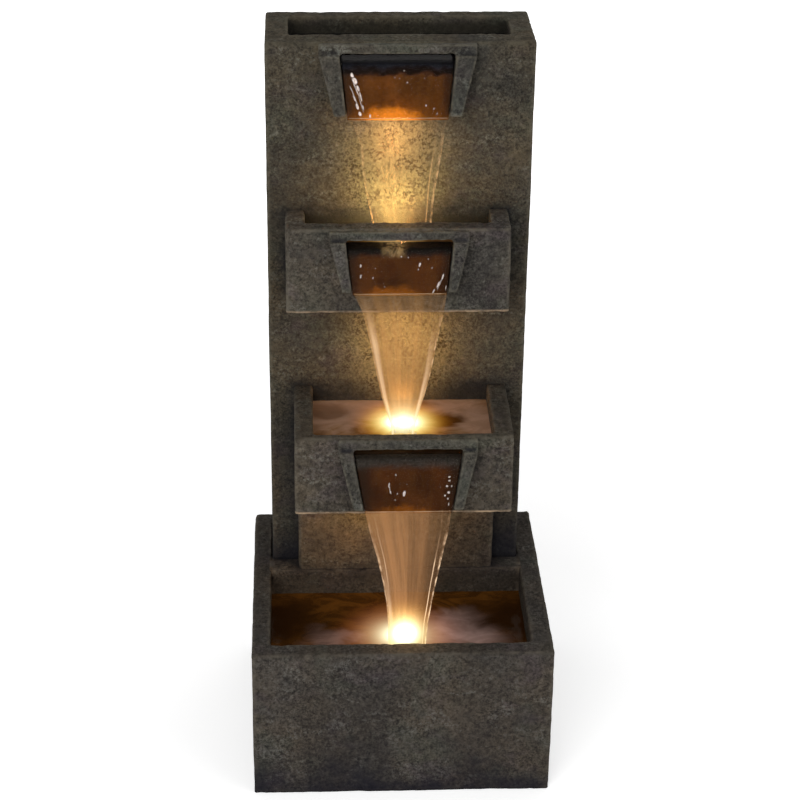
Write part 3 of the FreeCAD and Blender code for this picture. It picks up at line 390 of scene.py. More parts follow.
def stone(name, tint, brown=1, shades=(), worn=0.8, glow_face_y=0, glow_patches=(), lamplit_foot=None, rim=None):
    """Moulded resin stone: charcoal with brown, green and purple-grey clouds, pale flecks and dark pits.

    shades lists (height, reach, share): the stone darkens towards that height. gold lists (x, z, reach)
    of patches on the face glow_face_y, warmer where the lamps' glow is painted on, with painted shading that
    makes the grain coarser. lamplit_foot is the height of a bottom edge painted pale as if lit by the lamp
    below, and rim the (height, share) of a top darkened by painted shade."""
    s = Shader(name)
    clouds = s.map(s.noise(6.5, 5, 0.62, 0.3), 0.36, 0.64)
    s.colour = s.mix(s.times(clouds, brown), CHARCOAL, UMBER)
    patches = s.map(s.noise(12, 4, 0.6, 0.4, (1, 1.3, 0.8)), 0.5, 0.64)
    s.lay(s.times(patches, 0.5), MOSS)
    bruises = s.map(s.noise(15, 4, 0.6, 0.2, (0.9, 1, 1.4)), 0.54, 0.68)
    s.lay(s.times(bruises, 0.5), PLUM)
    swathes = s.map(s.noise(9, 3, 0.55, 0.5, (1, 1, 0.7)), 0.36, 0.64)
    s.tint(s.mix(swathes, (0.87, 0.87, 0.87), (1.13, 1.13, 1.12)))
    mottle = s.noise(105, 5, 0.72)
    s.tint(s.mix(s.map(mottle, 0.34, 0.66), (0.66, 0.66, 0.67), (1.46, 1.45, 1.42)))
    grains = s.map(s.noise(310, 3, 0.66), 0.34, 0.66)
    coarse = s.map(s.noise(17, 3, 0.6), 0.36, 0.62, 0.35, 1)
    s.lay(coarse, s.scaled(s.colour, s.mix(grains, (0.5, 0.5, 0.5), (1.52, 1.52, 1.49))))
    wisps = s.map(s.noise(19, 5, 0.66, 1.1, (0.8, 1, 1.5)), 0.5, 0.64)
    flecks = s.map(s.noise(230, 3, 0.68, 0.5), 0.48, 0.66)
    flecks = s.times(flecks, s.map(wisps, 0, 1, 0.06, 1))
    s.lay(s.times(flecks, 0.58), PALE_FLECK)
    pits = s.map(s.noise(230, 3, 0.6), 0.42, 0.34)
    s.lay(s.times(pits, 0.45), DARK_PIT)

    edge = s.attribute("edge")
    rubbed = s.times(s.map(edge, 0.12, 0.7), s.map(s.noise(70, 4, 0.6), 0.38, 0.62, 0.1, worn))
    s.lay(rubbed, RUBBED_EDGE)
    # Painted light: the bottom front edge pale, as if lit by the lamp below
    if lamplit_foot is not None:
        line = s.times(s.map(s.axis(Z), lamplit_foot + 6 * MM, lamplit_foot + 3 * MM), s.map(edge, 0.05, 0.3),
            s.map(s.noise(45, 4, 0.65), 0.35, 0.6, 0.15, 0.85))
        s.lay(line, LAMPLIT_FOOT_EDGE)
    # Painted shade, where shade falls: in concave creases and against the nodes beside the casting
    nook = s.times(s.attribute("nook"), s.map(s.noise(26, 4, 0.65), 0.34, 0.62, 0.45, 0.95))
    corner_shade = s.plus(s.times(s.map(edge, -0.08, -0.5), 0.75), nook)
    s.lay(s.math("MINIMUM", corner_shade, 0.85), PAINTED_CORNER_SHADE)
    ragged = s.map(s.noise(16, 4, 0.6), 0.3, 0.7, -0.4, 0.4)
    for height, reach, share in shades:
        rise = s.math("DIVIDE", s.minus(s.axis(Z), height * MM), reach * MM)
        s.lay(s.ease(s.plus(rise, ragged), 1, 0, 0, share), DEEP_SHADE)
    # Painted light: the lamps' warm glow on these patches, with painted shading that brings out the grain
    for x, z, reach in glow_patches:
        near = s.ease(s.distance((x * MM, glow_face_y, z * MM)), reach * MM, reach * 0.3 * MM)
        specks = s.map(s.noise(270, 3, 0.68, 0.3), 0.52, 0.44)
        specks = s.times(specks, s.map(s.noise(40, 3, 0.6), 0.34, 0.58, 0.35, 1))
        grain = s.mix(specks, s.mix(grains, GLOW_BASE, GLOW_GRAIN), GLOW_GRAIN_SHADE)
        s.lay(s.times(near, 0.8), grain)
    # Painted shade: the tops darker than the fronts, as the light falls
    if rim is not None:
        height, share = rim
        top = s.map(s.axis(Z), height - 7 * MM, height - 3 * MM, 0, share)
        s.lay(top, TOP_SHADE_TONE)
    damp = s.attribute("damp")
    s.lay(s.times(damp, 0.74), SOAKED)
    s.tint(tint)

    relief = s.plus(s.noise(210, 4, 0.65), s.times(s.noise(700, 2, 0.6), 0.4))
    normal = s.bump(s.minus(relief, s.times(pits, 0.35)), 0.8, 2.2 * MM)
    rough = s.minus(s.map(mottle, 0.3, 0.7, 0.92, 0.72), s.times(damp, 0.3))
    return s.finish(s.colour, rough, 0.04, Normal=normal)


# A chute's stone: height in millimetres and strength of the painted lamp glow over its lip, depth of the
# amber, reach in millimetres and colour of the painted shade and reflection on the crest, share of the
# painted shade in the fold under it, strength of the painted reflection of the glare
ChuteLook = namedtuple("ChuteLook", "foot glow depth reach crown fold shimmer")
CHUTE_LOOKS = {
    "upper": ChuteLook(17, 0.66, 1, 17, (0.022, 0.024, 0.034), 0.9, 0),
    "middle": ChuteLook(12, 0.16, 0.62, 12, (0.02, 0.017, 0.015), 0, 0.26),
    "lower": ChuteLook(10, 0.12, 0.58, 16, (0.055, 0.049, 0.043), 0, 0),
}


def wet_chute(tier):
    """A chute's stone, always wet: amber brown, black with painted shade and reflection under the crest,
    and warmest at the lip, where the lamp's glow is painted on; the middle chute also has a painted
    reflection of the glare near its crest.
    """
    s = Shader("wet_chute_" + tier.name)
    look = CHUTE_LOOKS[tier.name]
    deep = look.depth
    foot = look.foot * MM
    clouds = s.map(s.noise(24, 4, 0.6), 0.36, 0.64)
    s.colour = s.mix(clouds, (0.056 * deep, 0.019 * deep, 0.003), (0.112 * deep, 0.036 * deep, 0.0055))
    streaks = s.map(s.noise(90, 4, 0.65, 0, (1, 0.22, 0.22)), 0.42, 0.62)
    s.lay(s.times(streaks, 0.3 * deep), (0.12, 0.05, 0.014))
    grains = s.map(s.noise(380, 3, 0.65), 0.32, 0.68)
    s.tint(s.mix(grains, (0.62, 0.6, 0.58), (1.34, 1.36, 1.38)))
    # Painted shade along both sides, where the ribs shade the chute
    side = s.ease(s.apart(s.axis(X), tier.x), tier.half_lip - 18 * MM, tier.half_lip + 3 * MM, 0, 0.75)
    s.lay(side, (0.014, 0.009, 0.006))
    # Painted shade and reflection under the header: dark on the crest, darkest in the fold below it
    ragged = s.map(s.noise(60, 4, 0.65), 0.3, 0.7, -5 * MM, 5 * MM)
    crest = s.ease(s.plus(s.axis(Z), s.times(ragged, 0.5)), tier.crest_z - look.reach * MM,
        tier.crest_z - 2 * MM)
    crest_shade_pit = tuple(0.22 * channel for channel in look.crown)
    s.lay(crest, s.mix(grains, crest_shade_pit, look.crown))
    rise = s.plus(s.axis(Z), ragged)
    fold = s.ease(s.apart(rise, tier.crest_z - 8 * MM), 7 * MM, 1 * MM, 0, look.fold)
    s.lay(fold, (0.004, 0.002, 0.001))

    # Painted light: the lamp's glow over the lip and a reflection of the glare near the crest
    middle = s.apart(s.axis(X), tier.x - 7 * MM)
    rise = s.plus(rise, s.times(middle, 0.17))
    near = s.times(s.ease(rise, tier.lip_z + 1.25 * foot, tier.lip_z + 0.2 * foot),
        s.ease(middle, 46 * MM, 22 * MM, 0.08, 1), s.map(grains, 0, 1, 0.75, 1.15))
    ripple = s.map(s.noise(110, 3, 0.6, 0.8, (1, 0.6, 0.6)), 0.38, 0.66)
    mirrored = s.times(ripple, s.ease(s.axis(Z), tier.crest_z - 12 * MM, tier.crest_z - 3 * MM),
        s.ease(middle, 21 * MM, 6 * MM), look.shimmer)
    light = s.summed(s.scaled((1, 0.29, 0.014), s.times(near, look.glow)),
        s.scaled((1, 0.66, 0.28), mirrored))
    normal = s.bump(s.noise(170, 4, 0.65), 0.5, 1 * MM)
    return s.finish(s.colour, 0.45, 0.03, light, Normal=normal)


def shaded(colour, share):
    return tuple(channel * share for channel in colour)


def moulded(name, colour, roughness, grain=900, depth=0.12, metallic=0, vary=0.12, shine=0.5):
    """Moulded plastic, rubber or plain metal: slight colour change, fine grain, uneven gloss."""
    s = Shader(name)
    base = s.mix(s.map(s.noise(70, 4, 0.6), 0.35, 0.65), shaded(colour, 1 - vary), shaded(colour, 1 + vary))
    rough = s.map(s.noise(180, 3, 0.6), 0.3, 0.7, roughness * 0.85, min(1, roughness * 1.15))
    normal = s.bump(s.noise(grain, 2, 0.5), depth, 0.3 * MM)
    return s.finish(base, rough, shine, Metallic=metallic, Normal=normal)


def brushed(name, colour, roughness):
    """Turned metal with fine lines across Y."""
    s = Shader(name)
    lines = s.noise(600, 2, 0.5, 0, (1, 0.15, 1))
    base = s.mix(s.map(lines, 0.3, 0.7), shaded(colour, 0.8), colour)
    rough = s.map(lines, 0.3, 0.7, roughness * 0.8, roughness * 1.25)
    return s.finish(base, rough, Metallic=1, Normal=s.bump(lines, 0.15, 0.2 * MM))


def banded(name, dark, pale, scale, distortion, direction, roughness, metallic, strength, depth):
    """Metal in fine leaves or turns that follow each other along one axis."""
    s = Shader(name)
    bands = s.node("TexWave", {"Vector": s.place, "Scale": scale, "Distortion": distortion}, "Fac",
        bands_direction=direction)
    normal = s.bump(bands, strength, depth * MM)
    return s.finish(s.mix(bands, dark, pale), roughness, Metallic=metallic, Normal=normal)


def lamp_lens():
    """A lit lens: white-hot with a slight pattern from the emitters under it."""
    s = Shader("lamp_lens")
    glow = s.mix(s.map(s.cells(140), 0.1, 0.6), (1, 0.86, 0.62), (1, 0.7, 0.36))
    return s.finish((0.9, 0.85, 0.75), 0.15, emission=glow, emitted=6)


def board():
    s = Shader("circuit_board")
    colour = s.mix(s.map(s.cells(420), 0.25, 0.4), (0.02, 0.11, 0.04), (0.05, 0.22, 0.09))
    return s.finish(colour, 0.4)


# Tones of a pool's water: its painted shade, its amber and its painted reflection of the bright room; the
# middle, bands and reach of the lamp's glare on it, where the painted reflection lightens it, where painted
# shade takes the place of its amber, and its share of light along the front wall. clouds and dark list
# (across, deep, reach, share) from the glare's middle. Lengths are in millimetres.
PoolLook = namedtuple("PoolLook", "shadow amber foam middle bands reach clouds dark mouth",
    defaults=(None, 60, (), (), 0.1))
POOL_LOOKS = {
    "reservoir": PoolLook((0.012, 0.012, 0.012), (0.022, 0.022, 0.022), (0.03, 0.03, 0.03), (0, 75)),
    "middle": PoolLook((0.03, 0.014, 0.005), (0.12, 0.06, 0.022), (0.2, 0.115, 0.06), (-10, 30),
        ((1.6, 14), (1.3, 12), (0.8, 9)), mouth=0.8),
    "lower": PoolLook((0.04, 0.014, 0.0012), (0.15, 0.082, 0.038), (0.215, 0.13, 0.086), (3, -8),
        ((3.7, 14.6), (7.4, 9.2), (13.5, 5.5)), 80,
        [(-95, 22, 62, 1), (-50, 52, 55, 0.9), (-74, -8, 30, 1), (106, -6, 52, 1), (66, 50, 50, 1)],
        [(56, 6, 27, 0.97), (-46, -16, 20, 0.5), (-100, 34, 26, 0.55)]),
    "basin": PoolLook((0.015, 0.0056, 0.0014), (0.072, 0.027, 0.0045), (0.29, 0.192, 0.168), (0, -83),
        ((2.9, 14.9), (4.4, 10.2), (3.6, 8.8)), 110,
        [(88, 18, 60, 1), (116, -4, 42, 0.9), (-92, -6, 36, 0.45), (-118, 24, 20, 0.3)],
        [(-165, 40, 80, 1), (175, 40, 95, 1)]),
}


def water_pool(pool):
    """A pool's surface: cloudy tinted water with ripples and gloss, painted shade and painted reflections,
    and the lamp's glare painted on it as light.
    """
    s = Shader("water_" + pool.name)
    look = POOL_LOOKS[pool.name]
    middle = Vector((look.middle[0] * MM, look.middle[1] * MM, pool.level))
    waves = s.plus(s.noise(26, 3, 0.55, 0.6), s.times(s.noise(90, 2, 0.5), 0.2))
    normal = s.bump(waves, 0.4, 2.5 * MM)
    warp = s.map(s.noise(16, 3, 0.6, 0.6), 0.3, 0.7, -26 * MM, 26 * MM)
    wisps = s.ease(s.noise(17, 4, 0.62, 1.4, (1, 2, 1)), 0.4, 0.62)

    def patch(across, deep, reach, share):
        centre = middle + Vector((across * MM, deep * MM, 0))
        near = s.plus(s.distance(centre, (0.75, 1, 1)), s.times(warp, 0.55))
        return s.ease(near, reach * MM, reach * 0.25 * MM, 0, share)

    veil = s.mix(s.map(wisps, 0, 1, 0.35, 1), look.shadow, look.amber)
    # Painted reflection of the bright room lightens these patches
    for place in look.clouds:
        veil = s.mix(s.times(patch(*place), s.map(wisps, 0, 1, 0.7, 1)), veil, look.foam)
    # Painted shade darkens these patches
    for place in look.dark:
        veil = s.mix(patch(*place), veil, look.shadow)
    # Painted shade near the front wall, which gets less light
    front = s.ease(s.axis(Y), pool.y0 + 4 * MM, pool.y0 + 30 * MM, look.mouth, 1)
    veil = s.scaled(veil, front)
    cloudy = s.node("BsdfDiffuse", {"Color": veil, "Normal": normal})
    body = s.blend(0.85, s.transparent((0.5, 0.28, 0.1)), cloudy)
    surface = s.under_gloss(body, (1, 0.94, 0.88), 0.14, normal, 0.14)
    if look.bands is None:
        return s.end(surface)
    glare = s.bloom(s.distance(middle), look.bands, look.reach * MM)
    # Painted light: the glare, and the water's tones glowing at 0.35 of their strength
    light = s.summed(s.scaled(glare, front), s.scaled(veil, 0.35))
    return s.end(s.add(surface, s.emission(light)))


def water_film():
    """The thin run of water over a crest and chute."""
    s = Shader("water_film")
    along = (1, 0.25, 0.25)
    waves = s.plus(s.noise(70, 3, 0.55, 0.4, along), s.times(s.noise(260, 2, 0.5, 0, along), 0.3))
    clear = s.transparent((0.97, 0.94, 0.9))
    return s.end(s.under_gloss(clear, (1, 0.96, 0.92), 0.1, s.bump(waves, 0.5, 1.6 * MM), 0.1))


# How milky one falling sheet is and at its start, its colour and the strength of its painted glow, its
# lean from left to right, the strength of its bright edges, that of the second line on the left and right,
# its strands as (place, share, start), and the lamp's glare on it: (aside, up) from the landing in
# millimetres, and its bands. Glow, edges, strands and glare are painted lamp light carried in the water.
SheetLook = namedtuple("SheetLook", "cover start body shine lean rims second strands glare bands")
SHEET_LOOKS = {
    "upper": SheetLook(0.035, 0.6, (0.7, 0.46, 0.22), 0.8, (1, 1), 0.42, (0, 0.8), [],
        (0, 0), ((0, 10), (0, 10), (0, 10))),
    "middle": SheetLook(0.33, 0.34, (0.53, 0.262, 0.078), 0.78, (1.02, 0.96), 0.6, (0, 0.8),
        [(-0.86, 0.62, -0.2), (0.86, 0.62, 0.15)],
        (1, 20), ((0.6, 21), (1.25, 12.2), (1.25, 9))),
    "lower": SheetLook(0.43, 0.72, (0.44, 0.208, 0.08), 0.75, (1.2, 0.52), 1.1, (0.5, 1.2),
        [(-0.86, 0.7, 0.32)],
        (-3, 37), ((3.7, 9.8), (6.1, 7.5), (7.3, 5.4))),
}
EDGE_LINE = 0.955
SECOND_LINE = 0.8


def water_sheet(tier):
    """A falling sheet: soft upright strands, broken bright edge lines, the lamp's glare at its foot; its
    light is painted on, standing for the lamp light carried in the water.
    """
    s = Shader("water_sheet_" + tier.name)
    look = SHEET_LOOKS[tier.name]
    across = s.attribute("across")
    down = s.attribute("down")
    side = s.math("ABSOLUTE", across)
    lines = s.node("CombineXYZ", {0: s.times(across, 3), 1: s.times(down, 0.5)})
    columns = s.noise(1.4, 3, 0.55, 0.1, vector=lines)
    fine = s.noise(6, 4, 0.65, 0.15, vector=lines)

    beads = s.node("CombineXYZ", {0: across, 1: s.times(down, 2)})
    broken = s.map(s.noise(7, 4, 0.7, 0.3, vector=beads), 0.42, 0.64, 0.08, 1)
    rim = s.times(s.map(side, 0.91, 0.965), broken, s.map(across, -0.2, 0.6, 0.8, 1.25))
    second = s.times(s.map(s.apart(side, SECOND_LINE), 0.03, 0), s.map(across, -0.1, 0.1, *look.second),
        s.map(fine, 0.42, 0.6, 0.1, 1))
    edges = s.times(s.math("MAXIMUM", rim, second), look.rims)
    for place, share, start in look.strands:
        strand = s.times(s.ease(s.apart(across, place), 0.15, 0.03), s.map(columns, 0.35, 0.65, 0.7, 1.1),
            s.map(down, start, start + 0.5), share)
        edges = s.math("MAXIMUM", edges, strand)
    edges = s.times(edges, s.map(down, 0.02, 0.34, 0.12, 1))

    lean = s.map(across, -0.7, 0.9, *look.lean)
    bell = s.ease(s.math("ABSOLUTE", s.plus(across, 0.12)), 0.35, 1.1, 1, 0.42)
    body = s.times(s.map(columns, 0.35, 0.65, 0.72, 1.26), s.map(fine, 0.35, 0.65, 0.84, 1.16), lean, bell)
    aside, up = look.glare
    spread = s.distance(tier.landing + Vector((aside * MM, 0, up * MM)))
    glare = s.bloom(spread, look.bands, 80 * MM)
    peak, half = look.bands[0]
    hot = s.times(s.halving(spread, half * MM), peak)
    edges = s.times(edges, s.map(hot, 0.2, 0.9, 1, 0))

    grow = s.map(down, 0, 0.36, look.start, 1)
    cover = s.plus(s.times(body, grow, look.cover), s.times(edges, 0.42))
    cover = s.math("MINIMUM", s.plus(cover, s.times(hot, 0.5)), 0.96)
    # Painted light: how strongly the sheet glows
    strength = s.plus(s.map(body, 0.4, 1.2, look.shine * 0.85, look.shine * 1.08), s.times(edges, 0.4))
    warm = s.mix(edges, look.body, (0.98, 0.7, 0.45))
    light = s.summed(s.scaled(warm, strength), glare)
    return s.finish(s.mix(0.75, warm, (0.04, 0.03, 0.02)), 0.3, 0.05, light, Alpha=cover)


def froth(tier):
    """Froth where a sheet lands, with the lamp's glare from below painted on it as light, the same
    glare as on the water round it.
    """
    s = Shader("froth_" + tier.name)
    look = POOL_LOOKS[tier.target.name]
    bubbles = s.map(s.cells(260), 0.05, 0.5, 1.08, 0.86)
    middle = (look.middle[0] * MM, look.middle[1] * MM, tier.target.level + 4 * MM)
    glare = s.scaled(s.bloom(s.distance(middle), look.bands, look.reach * MM), bubbles)
    alpha = s.ease(s.distance(tier.landing), 34 * MM, 10 * MM, 0, 0.85)
    return s.finish((0.3, 0.22, 0.14), 0.4, 0.1, glare, Alpha=alpha)


def bead_water():
    """Drops and glints that stand on the wet chute, the glints painted on as light."""
    s = Shader("water_beads")
    shine = s.attribute("shine")
    spot = s.times(s.map(s.noise(420, 3, 0.6), 0.35, 0.65, 0.45, 1),
        s.ease(s.attribute("swell"), 0.05, 0.85))
    strength = s.times(spot, s.map(shine, 0, 1, 0.14, 0.6))
    cover = s.times(spot, s.map(shine, 0, 1, 0.45, 0.95))
    return s.finish((0.5, 0.45, 0.42), 0.3, 0.1, (1, 0.86, 0.8), strength, Alpha=cover)


def lip_water():
    """The line of water along a lip: nearly clear, with a painted warm highlight in places."""
    s = Shader("water_lip")
    spot = s.map(s.noise(60, 4, 0.65), 0.36, 0.64, 0.03, 0.24)
    return s.finish((0.3, 0.2, 0.12), 0.2, 0.2, (1, 0.68, 0.4), spot, Alpha=0.55)


# Stone castings

sink = 3.5 * MM
MOST_FACES = 98000


def cast(node, name, material, voxel, seed, wobble=1.1, rough=0.35, chips=1.4, seats=(), beside=(), corner_shade=5):
    """The node's casting with hand-moulded faces and worn edges, never outside the node.

    voxel, wobble, rough and chips are in millimetres, as is the reach of the painted shade. seats lists
    (axis, place, sink): points within a voxel of that plane move on by sink, into what carries the casting,
    so that no gap shows there. Painted shade darkens the stone against the nodes beside it, where shade
    falls between parts, and halves with every reach."""
    voxel *= MM
    piece = add_object(name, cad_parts[node].data.copy())
    piece.data.materials.clear()
    remesh = piece.modifiers.new("remesh", "REMESH")
    remesh.mode = "VOXEL"
    remesh.voxel_size = voxel
    smooth = piece.modifiers.new("smooth", "SMOOTH")
    smooth.factor = 0.5
    smooth.iterations = 1
    mesh = applied(piece)

    points = read_vectors(mesh, "co")
    normals = read_vectors(mesh, "normal")
    edge = convexity(mesh, points, normals, voxel * 2.2)
    depth = wobble * MM * (noise_at(points, 95 * MM, seed) * 0.5 + 0.5)
    depth += rough * MM * (noise_at(points, 14 * MM, seed + 5, 3) * 0.5 + 0.5)
    on_edge = np.maximum(edge, 0)
    chipped = np.nonzero(on_edge > 0.15)[0]
    bites = np.zeros(len(points))
    bites[chipped] = np.maximum(noise_at(points[chipped], 13 * MM, seed + 9, 3) + 0.15, 0)
    depth += chips * MM * on_edge * bites * 1.6
    moved = points - normals * np.maximum(depth, 0)[:, None]
    for axis, place, reach in seats:
        near = np.abs(points[:, axis] - place) < voxel * 0.9
        moved[near, axis] = place + reach
    mesh.vertices.foreach_set("co", moved.ravel())
    mesh.update()

    # The last value holds painted shade against the nodes beside the casting
    store(mesh, edge=edge, damp=dampness(moved), nook=nearness(moved, beside, corner_shade * MM))
    if len(mesh.polygons) > MOST_FACES:
        piece.modifiers.new("thin", "DECIMATE").ratio = MOST_FACES / len(mesh.polygons)
        mesh = applied(piece)
    mesh.shade_smooth()
    mesh.materials.append(material)
    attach(piece, ROOT)
    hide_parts(node)


def make_castings():
    basin_top = high("basin", Z)
    tower_foot = basin_top / MM
    basin_stone = stone("cast_stone_basin", (1.05, 1.03, 1.05), brown=0.6,
        shades=[(-12, 70, 0.8), (0, 190, 0.2)], rim=(basin_top, 0.27))
    tower_stone = stone("cast_stone_tower", (1.04, 1.03, 0.95), rim=(high("tower_shell", Z), 0.24),
        shades=[(tower_foot, 60, 0.7), (tower_foot, 330, 0.34)], glow_face_y=tower_front,
        glow_patches=[(-8, 835, 105), (4, 566, 116)])
    frame_stone = stone("cast_stone_frame", (1.16, 1.19, 1.16), brown=0.35, worn=0.7)
    block_stone = stone("cast_stone_block", (1.1, 0.99, 0.9), glow_face_y=low("pedestal_block", Y),
        glow_patches=[(-50, 345, 75), (60, 365, 40)])
    ledge_stone = stone("cast_stone_ledge", (1.07, 0.99, 0.97))
    cast("basin", "basin_casting", basin_stone, 3.2, 1, wobble=1.6, chips=1, seats=[(Z, 0, 0)],
        beside=("ledge_wall",))
    cast("tower_shell", "tower_casting", tower_stone, 3.4, 2, wobble=1.4, chips=0.9, corner_shade=9,
        seats=[(Z, basin_top, -sink)],
        beside=("ledge_wall", "trough_middle", "trough_lower", "pedestal_block"))
    cast("ledge_wall", "ledge_casting", ledge_stone, 3, 3, corner_shade=9, beside=("tower_shell", "pedestal_block"),
        seats=[(X, low("ledge_wall", X), -sink), (X, high("ledge_wall", X), sink),
        (Y, tower_front + tower_wall, sink)])
    cast("pedestal_block", "pedestal_casting", block_stone, 3, 4, beside=("ledge_wall", "trough_lower"),
        seats=[(Y, tower_front, sink), (Z, low("pedestal_block", Z), -sink),
        (Z, high("pedestal_block", Z), sink)])
    # The last number is the share of painted shade on each trough's top
    for node, seed, top_shade in (("trough_middle", 5, 0.05), ("trough_lower", 6, 0.34)):
        trough_stone = stone("cast_stone_" + node, (1.16, 1.14, 1.12), brown=0.7, lamplit_foot=low(node, Z),
            rim=(high(node, Z), top_shade))
        cast(node, node + "_casting", trough_stone, 2.6, seed, wobble=1.2, seats=[(Y, tower_front, sink)],
            beside=("tower_shell",))
    for seed, tier in enumerate(TIERS, 7):
        spout = "spout_frame_" + tier.name
        chute = "chute_" + tier.name
        cast(spout, spout + "_casting", frame_stone, 1.8, seed, wobble=0.5, chips=1.1,
            seats=[(Y, tier.face, sink)])
        cast(chute, chute + "_casting", wet_chute(tier), 1.8, seed + 10, wobble=0.4, rough=0.5, chips=0.3)


# Water

def closed_shell(name, outer, inner, material):
    """A closed shell between two grids of points, joined round their border."""
    wide = len(outer[0])
    under = wide * len(outer)
    points = [point for grid in (outer, inner) for row in grid for point in row]
    faces = []
    for start in range(0, under - wide, wide):
        for a in range(start, start + wide - 1):
            faces.append((a, a + wide, a + wide + 1, a + 1))
            faces.append((under + a, under + a + 1, under + a + wide + 1, under + a + wide))
    border = [*range(wide), *range(2 * wide - 1, under, wide), *range(under - 2, under - wide - 1, -1),
        *range(under - 2 * wide, 0, -wide)]
    for a, b in zip(border, border[1:] + border[:1]):
        faces.append((a, b, under + b, under + a))
    return water_piece(name, points, faces, material)


def ring_faces(rings, around, start=0):
    """Faces of a closed form that runs from a point over rings of around points each to a point."""
    faces = []
    end = start + 1 + rings * around
    for i in range(around):
        k = (i + 1) % around
        faces.append((start, start + 1 + i, start + 1 + k))
        for a in range(start + 1, end - around, around):
            faces.append((a + i, a + around + i, a + around + k, a + k))
        faces.append((end - around + i, end, end - around + k))
    return faces


def steps(start, end, pitch):
    return np.linspace(start, end, max(2, int(round((end - start) / pitch)) + 1))


def make_pool(pool, landing):
    """The pool's surface with rings round the landing, let into its walls all round."""
    seed = len(pool.name)
    inset = 6 * MM
    thickness = 5 * MM
    pitch = 2.5 * MM

    def top(x, y):
        height = 0.7 * MM * noise.noise(Vector((x, y, seed)) / (26 * MM))
        height += 0.3 * MM * noise.noise(Vector((x, y, seed + 9)) / (9 * MM))
        if landing is not None:
            away = math.hypot(x - landing.x, (y - landing.y) * 1.2)
            height += 1.2 * MM * math.exp(-away / (45 * MM)) * math.cos(away / (2.6 * MM))
        return pool.level + height

    xs = steps(pool.x0 - inset, pool.x1 + inset, pitch)
    ys = steps(pool.y0 - inset, pool.y1 + inset, pitch)
    surface = [[(x, y, top(x, y)) for y in ys] for x in xs]
    under = [[(x, y, z - thickness) for x, y, z in row] for row in surface]
    closed_shell("pool_" + pool.name, surface, under, water_pool(pool))


crest_radius = 14 * MM
chute_slope = math.radians(72)


def chute_profile(tier, rise):
    """Points (y, z) over crest and chute, standing off the stone by rise."""
    inside = tier.back_y + 4 * MM
    line = [(tier.face + y, tier.crest_z + rise) for y in steps(0, inside - tier.face, 4 * MM)[::-1]]
    middle_z = tier.crest_z - crest_radius
    reach = crest_radius + rise
    for angle in np.linspace(0, chute_slope, 10)[1:]:
        line.append((tier.face - reach * math.sin(angle), middle_z + reach * math.cos(angle)))
    bend_y, bend_z = line[-1]
    end_y = tier.lip_y - rise * math.sin(chute_slope)
    end_z = tier.lip_z + rise * math.cos(chute_slope)
    count = max(3, int((bend_z - end_z) / (2.2 * MM)))
    for index in range(1, count + 1):
        share = index / count
        line.append((bend_y + (end_y - bend_y) * share, bend_z + (end_z - bend_z) * share))
    return line


def half_width(tier, z):
    """Half the chute's width at a height, as the ribs leave it."""
    share = (z - tier.lip_z) / (tier.header_z - tier.lip_z)
    return tier.half_lip + (tier.half_top - tier.half_lip) * min(max(share, 0), 1)


def make_film(tier, material, seed):
    """The run of water over crest and chute, with its under side let into the stone."""
    grids = []
    for rise in (1.6 * MM, -0.8 * MM):
        rows = []
        for y, z in chute_profile(tier, rise):
            half = half_width(tier, z) - 0.8 * MM
            row = []
            for x in np.linspace(-half, half, 61):
                lift = 0
                if rise > 0:
                    lift = 0.8 * MM * noise.noise(Vector((x / (7 * MM), (y + z) / (19 * MM), seed)))
                row.append((tier.x + x, y - lift * 0.7, z + lift * 0.4))
            rows.append(row)
        grids.append(rows)
    closed_shell("film_" + tier.name, *grids, material)


def make_sheet(tier, seed):
    """The falling sheet: it draws in below the lip, with thick strands at both edges."""
    drops, middles, halves = tier.outline.T
    front = []
    back = []
    across = []
    down = []
    count = 81
    rows = max(12, int(tier.fall / (2.5 * MM)))
    for j in range(rows + 1):
        share = j / rows
        drop = (tier.fall + 5 * MM) * share
        middle = np.interp(drop, drops, middles)
        half = np.interp(drop, drops, halves)
        z = tier.lip_z + 1.2 * MM - drop
        y = tier.lip_y - 1 * MM - throw * math.sqrt(drop)
        front.append([])
        back.append([])
        for i in range(count):
            s = -1 + 2 * i / (count - 1)
            sway = noise.noise(Vector((s * 3.2, drop / (60 * MM), seed)))
            x = middle + s * half + 1.7 * MM * sway * share
            wave = 0.9 * MM * noise.noise(Vector((s * 7, drop / (45 * MM), seed + 4)))
            edge = math.exp(-((abs(s) - EDGE_LINE) / 0.035) ** 2)
            second = math.exp(-((abs(s) - SECOND_LINE) / 0.035) ** 2) * min(1, share * 3)
            taper = math.sqrt(max(0, 1 - max(0, (abs(s) - 0.95) / 0.05) ** 2))
            thick = 0.08 * MM + (0.3 + 1.3 * edge + 0.7 * second) * MM * taper
            front[-1].append((x, y + wave - thick, z))
            back[-1].append((x, y + wave + thick, z))
            across.append(s)
            down.append(share)
    piece = closed_shell("sheet_" + tier.name, front, back, water_sheet(tier))
    store(piece.data, across=across * 2, down=down * 2)


